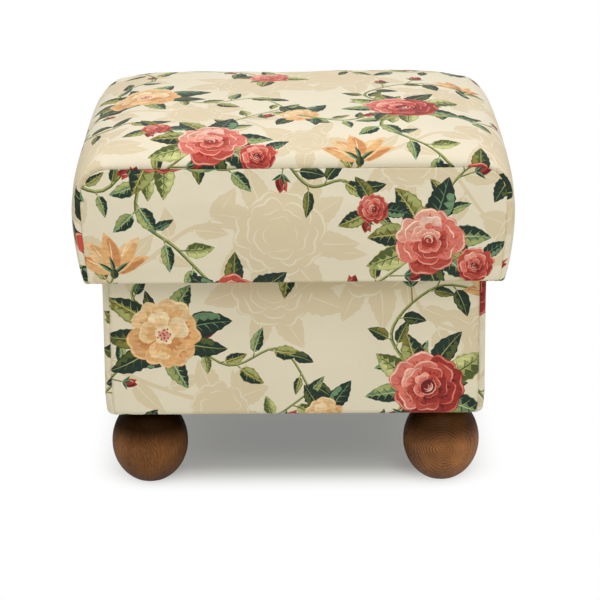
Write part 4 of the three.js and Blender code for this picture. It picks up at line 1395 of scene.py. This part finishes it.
def box_profile(rim, rim_roll):
    """The cloth's way up a wall: how far it lies in from the face, and its height, at lengths along it."""
    turn = np.linspace(0, math.pi / 2, BOX_TURN_STEPS)
    edge = box_base - BOX_EDGE_DROP
    flange_width = np.linspace(BOX_FLANGE, 0, BOX_FLANGE_STEPS)
    fall = np.clip(1 - flange_width / FLANGE_DROP_WIDTH, 0, 1)
    flange = (BOX_LOWER_ROLL + flange_width, box_base - BOX_EDGE_DROP * eased(fall))
    lower = (BOX_LOWER_ROLL * (1 - np.sin(turn)), edge + BOX_LOWER_ROLL * (1 - np.cos(turn)))
    wall_height = np.linspace(edge + BOX_LOWER_ROLL, rim - rim_roll, BOX_WALL_STEPS)
    wall = (np.zeros(BOX_WALL_STEPS), wall_height)
    upper = (rim_roll * (1 - np.cos(turn)), rim - rim_roll * (1 - np.sin(turn)))
    flat = (np.linspace(rim_roll, RIM_WIDTH, BOX_FLAT_STEPS), np.full(BOX_FLAT_STEPS, rim))
    inner = (RIM_WIDTH + TUCK_ROLL * np.sin(turn), rim - TUCK_ROLL * (1 - np.cos(turn)))
    tuck_height = np.linspace(rim - TUCK_ROLL, rim - TUCK_DEPTH, BOX_FLAT_STEPS)
    tuck = (np.full(BOX_FLAT_STEPS, RIM_WIDTH + TUCK_ROLL), tuck_height)
    inset, height = np.concatenate([flange, lower, wall, upper, flat, inner, tuck], axis=1)
    along = lengths_along(inset, height)
    keep = np.concatenate([[True], np.diff(along) > 1e-9])
    return along[keep], inset[keep], height[keep]


def wall_bulge(height, across):
    """How far a wall swells at a height and at a share of the way across it."""
    rise = ramped(height - box_base, box_top - box_base)
    return BOX_SWELL * np.sin(rise * math.pi) * np.sin(np.clip(across, 0, 1) * math.pi)


def narrowed(x, height):
    """X drawn in a little towards the box's lower edge."""
    rise = ramped(height - box_base, NARROWING_HEIGHT)
    return x * (1 - BOX_NARROWING / box_half_width * (1 - rise) ** 2)


def corner_groove(distance, inset):
    """How deep a corner seam pulls the cloth in: fully on the wall, and less where the cloth turns in."""
    return groove(distance) * ramped(BOX_LOWER_ROLL * 1.5 - inset, BOX_LOWER_ROLL)


def end_surface(sign, rim, rim_roll):
    """The front cover for -1 and the back one for 1."""
    along, insets, heights = box_profile(rim, rim_roll)

    def surface(flat):
        inset = np.interp(flat.imag, along, insets)
        height = np.interp(flat.imag, along, heights)
        x = flat.real / box_seam * (box_seam - inset)
        out_y = box_half_depth - inset + wall_bulge(height, (x / box_seam + 1) / 2)
        distance = box_seam - np.abs(flat.real)
        out_y = out_y - corner_groove(distance, inset) - puckers(height, distance, 12)
        out_y = out_y + BOX_RIPPLE * waves(stacked(x, 0 * x, height), BOX_RIPPLE_LENGTH, 20 + sign)
        return stacked(narrowed(x, height) * -sign, sign * out_y, height)

    return surface, along[-1]


straight_half = box_half_depth - BOX_CORNER_RADIUS
side_half = straight_half + quarter_arc(BOX_CORNER_RADIUS)
def side_surface(sign):
    """The right cover for 1 and the left one for -1, which turn both corners to the seams."""
    along, insets, heights = box_profile(box_top, BOX_RIM_ROLL)

    def surface(flat):
        run = flat.real
        inset = np.interp(flat.imag, along, insets)
        height = np.interp(flat.imag, along, heights)
        angle = np.clip((np.abs(run) - straight_half) / BOX_CORNER_RADIUS, 0, math.pi / 2)
        reach = np.minimum(np.abs(run) / straight_half, 1) * (straight_half - inset)
        y = np.sign(run) * (reach + BOX_CORNER_RADIUS * np.sin(angle))
        x = box_half_width - inset - BOX_CORNER_RADIUS * (1 - np.cos(angle))
        x = x + wall_bulge(height, (run / straight_half + 1) / 2)
        y = y - np.sign(run) * corner_groove(side_half - np.abs(run), inset)
        ripple = waves(stacked(x, y, height), BOX_RIPPLE_LENGTH, 30 + sign)
        x = x + BOX_RIPPLE * ripple * np.cos(angle)
        drop = eased(ramped(y * sign - RIM_STEP_FROM, RIM_STEP_TO - RIM_STEP_FROM))
        upper = ramped(height - box_top + TUCK_DEPTH * 2, TUCK_DEPTH * 2)
        height = height - drop * upper * (box_top - back_rim)
        return stacked(narrowed(x, height) * sign, y * sign, height)

    return surface, along[-1]


def profile_knots(length, rim, rim_roll):
    """Levels up a box cover: close together where the cloth turns, wider on the wall."""
    turn_shares = np.array([0, 0.25, 0.5, 0.75, 1])
    lower = BOX_FLANGE + quarter_arc(BOX_LOWER_ROLL) * turn_shares
    wall_end = lower[-1] + (rim - rim_roll - box_base + BOX_EDGE_DROP - BOX_LOWER_ROLL)
    wall = np.linspace(lower[-1], wall_end, BOX_WALL_KNOTS)[1:]
    upper = wall_end + quarter_arc(rim_roll) * turn_shares[1:]
    rest = np.linspace(upper[-1], length, BOX_RIM_KNOTS)[1:-1]
    return np.concatenate([[BOX_FLANGE / 2], lower, wall, upper, rest])


def add_box_panel(name, surface, length, half, rows, rim, roll, cut_share):
    """One panel of the box's cover, cut as a plain rectangle."""
    outline = np.array([-half, half, half + 1j * length, -half + 1j * length])
    knots = mesh_knots(knots_between(half, rows), profile_knots(length, rim, roll))
    printed_panel(f"box_cover_{name}", outline, knots, surface, cut_share, "box")


def add_box_cover():
    """The front and back panels, then the side ones."""
    for sign, name, rim, roll, cut_share in (
        (-1, "front", box_top, BOX_RIM_ROLL, BOX_FRONT_CUT_SHARE),
        (1, "back", back_rim, BACK_RIM_ROLL, BOX_BACK_CUT_SHARE),
    ):
        surface, length = end_surface(sign, rim, roll)
        add_box_panel(name, surface, length, box_seam, SEAM_ROWS, rim, roll, cut_share)
    for sign, name, cut_share in ((-1, "left", BOX_LEFT_CUT_SHARE), (1, "right", BOX_RIGHT_CUT_SHARE)):
        surface, length = side_surface(sign)
        add_box_panel(name, surface, length, side_half, SIDE_SEAM_ROWS, box_top, BOX_RIM_ROLL, cut_share)


def cloth_half_width(depth_share, height):
    """How far out the lid's side wall stands at a depth and a height."""
    x, z, flange = lid_half_section(depth_share)
    wall = (z < lid_seam_top - LID_CORNER_RADIUS) & (x > opening_half_width + flange * 0.99)
    return float(np.interp(height, z[wall][::-1], x[wall][::-1]))


def inset_filling(name, node, body, material, depth, under_lid_cover=False):
    """Soft filling in the form of its solid, drawn in so that it stays under the cloth as it ripples."""
    form = bmesh.new()
    form.from_mesh(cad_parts[node].data)
    bmesh.ops.remove_doubles(form, verts=form.verts, dist=depth / 100)
    form.normal_update()
    low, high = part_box(node)
    middle = (low + high) / 2
    vertices = np.array([v.co - v.normal * depth * ((v.co - middle).dot(v.normal) > 0) for v in form.verts])
    faces = [[v.index for v in face.verts] for face in form.faces]
    form.free()
    if under_lid_cover:
        for place in vertices:
            if place[2] < lid_seam_top - LID_CORNER_RADIUS:
                limit = cloth_half_width(min(abs(place[1]) / lid_half_depth, 1), place[2]) - WRAP_CLEARANCE
                place[0] = np.clip(place[0], -limit, limit)
    filling = new_object(name, vertices, faces, body, material)
    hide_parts(node)


add_lid_cover()
add_box_cover()
inset_filling("lid_fibre_wrap", "lid_wadding", "lid", wadding_fibre, WRAP_INSET, under_lid_cover=True)
inset_filling("lid_foam_block", "lid_foam", "lid", foam_cells, FOAM_INSET)
inset_filling("box_fibre_wrap", "box_wadding", "box", wadding_fibre, BOX_WRAP_INSET)

# Lining, dust cloth, and their stitches and staples

def rounded_octagon(half_width, half_depth, cut, radius):
    """The line round an octagon with rounded corners, anticlockwise from the middle of its back.

    With it comes how far along the line each of its points lies.
    """
    corners = []
    a = half_width + 1j * (half_depth - cut)
    b = half_width - cut + 1j * half_depth
    for quarter, mirror in enumerate((1 + 1j, -1 + 1j, -1 - 1j, 1 - 1j)):
        pair = [a, b] if quarter in (0, 2) else [b, a]
        corners += [complex(p.real * mirror.real, p.imag * mirror.imag) for p in pair]
    corners = corners[2:] + corners[:2]
    line = []
    for k, corner in enumerate(corners):
        before = corners[k - 1] - corner
        after = corners[(k + 1) % len(corners)] - corner
        start = corner + before / abs(before) * radius
        end = corner + after / abs(after) * radius
        t = np.linspace(0, 1, CORNER_STEPS)
        line.append(start * (1 - t) ** 2 + 2 * corner * t * (1 - t) + end * t ** 2)
    line = np.concatenate(line)
    middle = 1j * half_depth
    line = np.concatenate([[middle], line, [middle]])
    return line, lengths_along(line.real, line.imag)


def grid_panel(name, surface, across, up, body, material):
    """A sheet over all crossings of two rows of places."""
    flat = mesh_knots(across, up)
    rows = len(up)
    starts = (np.arange(len(across) - 1)[:, None] * rows + np.arange(rows - 1)[None, :]).ravel()
    faces = np.stack([starts, starts + rows, starts + rows + 1, starts + 1], axis=1)
    obj = new_object(name, surface(flat), faces, body, material)
    add_uv(obj.data, "cloth", flat)
    return obj


def capsules(name, middles, headings, length, radius, body, material):
    """Short round-ended lengths of thread or wire as one object."""
    turns = angles_round(CAPSULE_SIDES)
    vertices = []
    faces = []
    for middle, heading in zip(middles, headings):
        heading = heading / np.linalg.norm(heading)
        side = np.cross(heading, (0.3, 0.5, 0.81))
        side /= np.linalg.norm(side)
        other = np.cross(heading, side)
        start = len(vertices)
        for along, share in CAPSULE_SHARES:
            centre = middle + heading * along * length
            spokes = [side * math.cos(a) + other * math.sin(a) for a in turns]
            vertices += [centre + spoke * radius * share for spoke in spokes]
        for ring in range(len(CAPSULE_SHARES) - 1):
            for k in range(CAPSULE_SIDES):
                here = start + ring * CAPSULE_SIDES + k
                there = start + ring * CAPSULE_SIDES + (k + 1) % CAPSULE_SIDES
                faces.append((here, there, there + CAPSULE_SIDES, here + CAPSULE_SIDES))
    return new_object(name, vertices, faces, body, material)


def along_line(surface, places, pitch):
    """Points spaced evenly along a line on a surface, and the line's heading at each."""
    line = surface(places)
    steps = np.linalg.norm(np.diff(line, axis=0), axis=1)
    along = np.concatenate([[0], np.cumsum(steps)])
    even = np.arange(pitch, along[-1] - pitch / 2, pitch)
    middles = np.stack([np.interp(even, along, line[:, axis]) for axis in range(3)], axis=1)
    ahead = np.stack([np.interp(even + pitch / 8, along, line[:, axis]) for axis in range(3)], axis=1)
    return middles, ahead - middles


def add_storage_lining():
    """The lining of the box: a wall with a turned and stitched top hem, sewn to a floor."""
    half_width = lining_high.x
    half_depth = lining_high.y
    bottom = lining_low.z + LINING_SEAM
    line, along = rounded_octagon(half_width, half_depth, LINING_CUT, LINING_CORNER_RADIUS)
    height = lining_high.z - HEM_FOLD - bottom
    length = height + math.pi * HEM_FOLD + HEM_DEPTH

    def on_line(run):
        return np.interp(run, along, line.real) + 1j * np.interp(run, along, line.imag)

    def wall(flat):
        place = on_line(flat.real)
        heading = on_line(flat.real + HEADING_STEP) - on_line(flat.real - HEADING_STEP)
        inward = 1j * heading / np.abs(heading)
        past = np.clip(flat.imag - height, 0, math.pi * HEM_FOLD) / HEM_FOLD
        down = np.maximum(flat.imag - height - math.pi * HEM_FOLD, 0)
        z = bottom + np.minimum(flat.imag, height) + HEM_FOLD * np.sin(past) - down
        below = ramped(height - HEM_DEPTH - flat.imag, HEM_STEP)
        free = ramped(flat.imag, SETTLE_HEIGHT) * ramped(length - flat.imag, SETTLE_HEIGHT)
        wrinkle = waves(stacked(flat.real, flat.real * 0, flat.imag * 0.35), LINING_RIPPLE_LENGTH, 41)
        inset = LINING_INSET - HEM_FOLD * (1 - np.cos(past)) - PLY * below
        inset = inset + LINING_WRINKLE * np.maximum(wrinkle, -0.4) * free
        ends = np.minimum(flat.real, along[-1] - flat.real)
        inset = inset - groove(ends) * 0.3 + puckers(flat.imag, ends, 43)
        inset = inset + puckers(flat.real, flat.imag, 44) * (past == 0)
        place = place + inward * np.maximum(inset, PLY / 2)
        return stacked(place.real, place.imag, z)

    across = np.concatenate([np.arange(0, along[-1], LINING_STEP), [along[-1]]])
    rising = np.linspace(0, height - HEM_DEPTH - HEM_STEP, LINING_LEVELS)
    hem = height - HEM_DEPTH + LINING_HEM_ROWS
    fold = height + HEM_FOLD * math.pi * np.linspace(0, 1, HEM_FOLD_STEPS)
    up = np.concatenate([rising, hem, fold, [length - HEM_DEPTH / 2, length]])
    lining = grid_panel("lining_wall", wall, across, up, "box", lining_cloth)
    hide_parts("storage_lining")
    seam = np.linspace(0, along[-1], STITCH_LINE_STEPS) + 1j * (height - HEM_DEPTH + STITCH_INSET)
    middles, headings = along_line(wall, seam, STITCH_PITCH)
    stitches = capsules(
        "lining_stitches", middles, headings, STITCH_LENGTH, STITCH_RADIUS,
        "box", thread_cotton,
    )

    def lining_floor(flat):
        distance, _ = nearest_on(inner, flat)
        wrinkle = waves(stacked(flat.real, flat.imag, flat.real * 0), LINING_FLOOR_RIPPLE_LENGTH, 45)
        z = bottom + LINING_WRINKLE * (0.5 + wrinkle) * ramped(distance, SETTLE_HEIGHT)
        z = z + puckers(flat.real + flat.imag, distance, 46)
        return stacked(flat.real, flat.imag, np.maximum(z, bottom - PLY))

    inset = LINING_INSET - PLY
    inner, _ = rounded_octagon(half_width - inset, half_depth - inset, LINING_CUT, LINING_CORNER_RADIUS)
    border = inner[:-1][np.abs(np.diff(inner)) > PLY]
    knots = mesh_knots(knots_between(half_width), knots_between(half_depth))
    points, triangles = triangulated([border], knots[inside(knots, border)])
    places = lining_floor(points)
    floor_sheet = new_object("lining_floor", places, triangles, "box", lining_cloth)
    add_uv(floor_sheet.data, "cloth", points)
    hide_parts("storage_lining")
    area = abs((border.conj() * np.roll(border, -1)).imag.sum() / 2)


def add_stapled_sheet(node, half_width, half_depth, face, edge, body, material):
    """A sheet under a board: its double edge lies over the cover's flanges, with staples all round.

    The face is the height of its middle, and the edge that of its border.
    """

    def surface(flat):
        from_side = half_width - np.abs(flat.real)
        from_end = half_depth - np.abs(flat.imag)
        distance = np.minimum(from_side, from_end)
        dip = eased(ramped(distance - SHEET_OVERLAP, SHEET_OVERLAP * 1.5))
        free = ramped(distance - SHEET_HEM, SETTLE_HEIGHT)
        wrinkle = waves(stacked(flat.real, flat.imag, flat.real * 0), SHEET_RIPPLE_LENGTH, 47)
        double = ramped(SHEET_HEM - distance, SHEET_HEM_STEP)
        z = edge + (face - edge) * dip - PLY * double * dip + PLY * wrinkle * free
        return stacked(flat.real, flat.imag, z)

    rows = SHEET_ROWS + [SHEET_HEM * 1.3]
    across, up = [
        np.concatenate([[-half], knots_between(half, rows, SHEET_SPACING), [half]])
        for half in (half_width, half_depth)
    ]
    cloth = grid_panel(f"{node}_cloth", surface, across, up, body, material)
    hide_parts(node)
    rim = SHEET_OVERLAP * 1.6
    middles = []
    headings = []
    rng = random.Random(9)
    for half, other, turn in ((half_width, half_depth, 1), (half_depth, half_width, 1j)):
        count = round((half - rim) * 2 / STAPLE_PITCH)
        for sign in (-1, 1):
            for place in np.linspace(-(half - rim * 2), half - rim * 2, count):
                flat = (place + rng.uniform(-1, 1) * STAPLE_JITTER + 1j * sign * (other - rim)) * turn
                middles.append(surface(np.array([flat]))[0] - [0, 0, STAPLE_RADIUS * 0.4])
                lean = cmath.rect(1, rng.uniform(-0.25, 0.25)) * turn
                headings.append(np.array([lean.real, lean.imag, 0.0]))
    staples = capsules(
        f"{node}_staples", middles, headings, STAPLE_LENGTH, STAPLE_RADIUS, body, zinc_steel,
    )


add_storage_lining()
add_stapled_sheet(
    "lid_lining", lid_lining_high.x + SHEET_OVERLAP, lid_lining_high.y + SHEET_OVERLAP,
    lid_lining_high.z - 3 * PLY, lid_lining_low.z + LIFT_OF_EDGE,
    "lid", lining_cloth,
)
add_stapled_sheet(
    "dust_cloth", dust_high.x + SHEET_OVERLAP, dust_high.y + SHEET_OVERLAP,
    dust_low.z + 2 * PLY, dust_low.z - PLY / 2,
    "box", under_cloth,
)

# Feet

foot_waist = box_base * FOOT_WAIST_SHARE

def foot_profile():
    """Radius and height from the middle of the top flat down to the middle of the bottom one."""
    highest = math.acos(FOOT_TOP_RADIUS / FOOT_RADIUS)
    lowest = math.acos(FOOT_BOTTOM_RADIUS / FOOT_RADIUS)
    up = np.linspace(highest, 0, FOOT_STEPS)
    down = np.linspace(0, lowest, FOOT_STEPS)[1:]
    upper_r = FOOT_RADIUS * np.cos(up)
    upper_z = foot_waist + (foot_high.z - foot_waist) * np.sin(up) / math.sin(highest)
    lower_r = FOOT_RADIUS * np.cos(down)
    lower_z = foot_waist - (foot_waist - foot_low.z) * np.sin(down) / math.sin(lowest)
    radii = np.concatenate([[0, FOOT_TOP_RADIUS / 2], upper_r, lower_r, [FOOT_BOTTOM_RADIUS / 2, 0]])
    heights = np.concatenate([[foot_high.z] * 2, upper_z, lower_z, [foot_low.z] * 2])
    return radii, heights


def lathe(radii, heights, centre):
    """A closed turned body about an upright axis. The profile starts and ends on the axis."""
    turns = angles_round(FOOT_SIDES)
    vertices = [(*centre, heights[0])]
    for r, z in zip(radii[1:-1], heights[1:-1]):
        vertices += [(centre[0] + r * math.cos(a), centre[1] + r * math.sin(a), z) for a in turns]
    vertices.append((*centre, heights[-1]))
    faces = []
    last = len(vertices) - 1 - FOOT_SIDES
    for k in range(FOOT_SIDES):
        n = (k + 1) % FOOT_SIDES
        faces.append((0, 1 + k, 1 + n))
        for a in range(1, last, FOOT_SIDES):
            b = a + FOOT_SIDES
            faces.append((a + k, b + k, b + n, a + n))
        faces.append((len(vertices) - 1, last + n, last + k))
    return vertices, faces


def turned(places, angle, axis):
    """Places turned about one of the three axes, by an angle against the usual sense."""
    c = math.cos(angle)
    s = math.sin(angle)
    first, second = [k for k in range(3) if k != axis]
    out = places.copy()
    out[:, first] = c * places[:, first] + s * places[:, second]
    out[:, second] = c * places[:, second] - s * places[:, first]
    return out


def add_attribute(mesh, name, kind, key, values):
    """A value or a vector for each vertex, which a material can read by its name."""
    layer = mesh.attributes.new(name, kind, "POINT")
    layer.data.foreach_set(key, values.astype(np.float32).ravel())


def add_feet():
    """Turned feet, each with its own grain and stain, with painted shade round the top and painted light on
    the outer side.
    """
    radii, heights = foot_profile()
    for name, (tilt, heading, heart, tone, top_painted_shade) in FOOT_LOGS.items():
        low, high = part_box(f"foot_{name}")
        centre = ((low.x + high.x) / 2, (low.y + high.y) / 2)
        vertices, faces = lathe(radii, heights, centre)
        foot = new_object(f"ball_foot_{name}", vertices, faces, "box", stained_wood)
        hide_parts(f"foot_{name}")
        local = np.array(vertices) - [*centre, foot_waist]
        grain = turned(turned(local, math.radians(heading), 2), math.radians(tilt), 0)
        add_attribute(foot.data, "grain", "FLOAT_VECTOR", "vector", grain + np.array([*heart, 0]) * MM)
        # Painted shade round the top, where the box shades the foot, and painted light on the side away from
        # the middle
        rise = ramped(local[:, 2] / FOOT_RADIUS - SHADE_FROM_SHARE, SHADE_TO_SHARE - SHADE_FROM_SHARE)
        outer = local[:, 0] / FOOT_RADIUS * math.copysign(1, centre[0])
        stain_and_painted_shading = tone * (1 + OUTER_PAINTED_LIGHT_SHARE * outer) * (1 - top_painted_shade * eased(rise))
        add_attribute(foot.data, "stain_and_painted_shading", "FLOAT", "value", stain_and_painted_shading)


add_feet()

# Materials of the CAD pieces that stay

KEPT_FINISHES = {
    zinc_steel: ("hinge", "box_screw", "lid_screw", "hanger_bolt", "tee_nut"),
    nylon: ("glide",),
    board_wood: (
        "corner_block", "base_board", "front_panel", "back_panel", "left_panel", "right_panel", "lid_board",
    ),
}
for name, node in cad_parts.items():
    for material, starts in KEPT_FINISHES.items():
        if name.startswith(starts):
            for slot in node.material_slots:
                slot.material = material

# Floor, light and camera

def seen_plainly(tree):
    """1 for rays from the camera, also by way of gloss or glass, and 0 for those that only light."""
    path = add_node(tree, "LightPath").outputs
    seen = math_node(tree, "MAXIMUM", path["Is Camera Ray"], path["Is Glossy Ray"])
    return math_node(tree, "MAXIMUM", seen, path["Is Transmission Ray"])


def make_floor_material():
    """A pale floor that takes the shadow near the footstool and looks plain white further out."""
    material, tree, shader = new_material("pale_floor")
    far = vector_node(tree, "ABSOLUTE", object_place(tree))
    edge = Vector((box_half_width, box_half_depth, 0)) - SHADOW_INSET
    beyond = vector_node(tree, "MAXIMUM", vector_node(tree, "SUBTRACT", far, edge))
    length = add_node(tree, "VectorMath", {0: beyond}, operation="LENGTH").outputs["Value"]
    fade = add_node(tree, "MapRange", {0: length, 2: SHADOW_FADE}, interpolation_type="SMOOTHSTEP")
    seen = seen_plainly(tree)
    feed(tree, shader, {"Base Color": FLOOR_TONE, "Roughness": 0.9, "Specular IOR Level": 0.1})
    lift = add_node(tree, "Emission", {"Strength": times(tree, seen, FLOOR_LIFT)}).outputs[0]
    lifted = add_node(tree, "AddShader", {0: shader.outputs[0], 1: lift}).outputs[0]
    glow = add_node(tree, "Emission", {"Strength": BACKDROP}).outputs[0]
    mix = add_node(tree, "MixShader", {0: times(tree, fade.outputs[0], seen), 1: lifted, 2: glow})
    tree.links.new(mix.outputs[0], tree.nodes["Material Output"].inputs["Surface"])
    return material


floor_mesh = bpy.data.meshes.new("floor")
floor_corners = [(x * FLOOR_HALF, y * FLOOR_HALF, 0) for x, y in ((-1, -1), (1, -1), (1, 1), (-1, 1))]
floor_mesh.from_pydata(floor_corners, [], [(0, 1, 2, 3)])
floor_mesh.materials.append(make_floor_material())
floor = bpy.data.objects.new("floor", floor_mesh)
bpy.context.scene.collection.objects.link(floor)

world = bpy.data.worlds.new("studio")
bpy.context.scene.world = world
world.use_nodes = True
tree = world.node_tree
dome = Vector(WORLD_TONE) * WORLD_LEVEL
shown = scaled_colour(tree, Vector((BACKDROP, BACKDROP, BACKDROP)) - dome, seen_plainly(tree))
tree.links.new(vector_node(tree, "ADD", shown, dome), tree.nodes["Background"].inputs["Color"])

for name, (place, target, size, power, tone) in SOFTBOXES.items():
    light = bpy.data.lights.new(name, "AREA")
    light.shape = "SQUARE"
    light.size = size
    light.energy = power
    light.color = tone
    lamp = bpy.data.objects.new(name, light)
    lamp.location = place
    lamp.rotation_euler = (Vector(target) - lamp.location).to_track_quat("-Z", "Y").to_euler()
    bpy.context.scene.collection.objects.link(lamp)

camera_data = bpy.data.cameras.new("camera")
camera_data.sensor_width = SENSOR_MILLIMETRES
camera_data.lens = FOCAL_PIXELS / IMAGE_PIXELS * camera_data.sensor_width
camera = bpy.data.objects.new("camera", camera_data)
level_distance = CAMERA_DISTANCE * math.cos(CAMERA_ELEVATION)
camera.location = (
    -math.sin(CAMERA_YAW) * level_distance,
    -math.cos(CAMERA_YAW) * level_distance,
    CAMERA_FROM + CAMERA_DISTANCE * math.sin(CAMERA_ELEVATION),
)
level_view = (TARGET - camera.location).to_track_quat("-Z", "Y")
camera.rotation_euler = (level_view @ Quaternion((0, 0, 1), CAMERA_ROLL)).to_euler()
bpy.context.scene.collection.objects.link(camera)
bpy.context.scene.camera = camera
bpy.context.scene.view_settings.view_transform = "Standard"
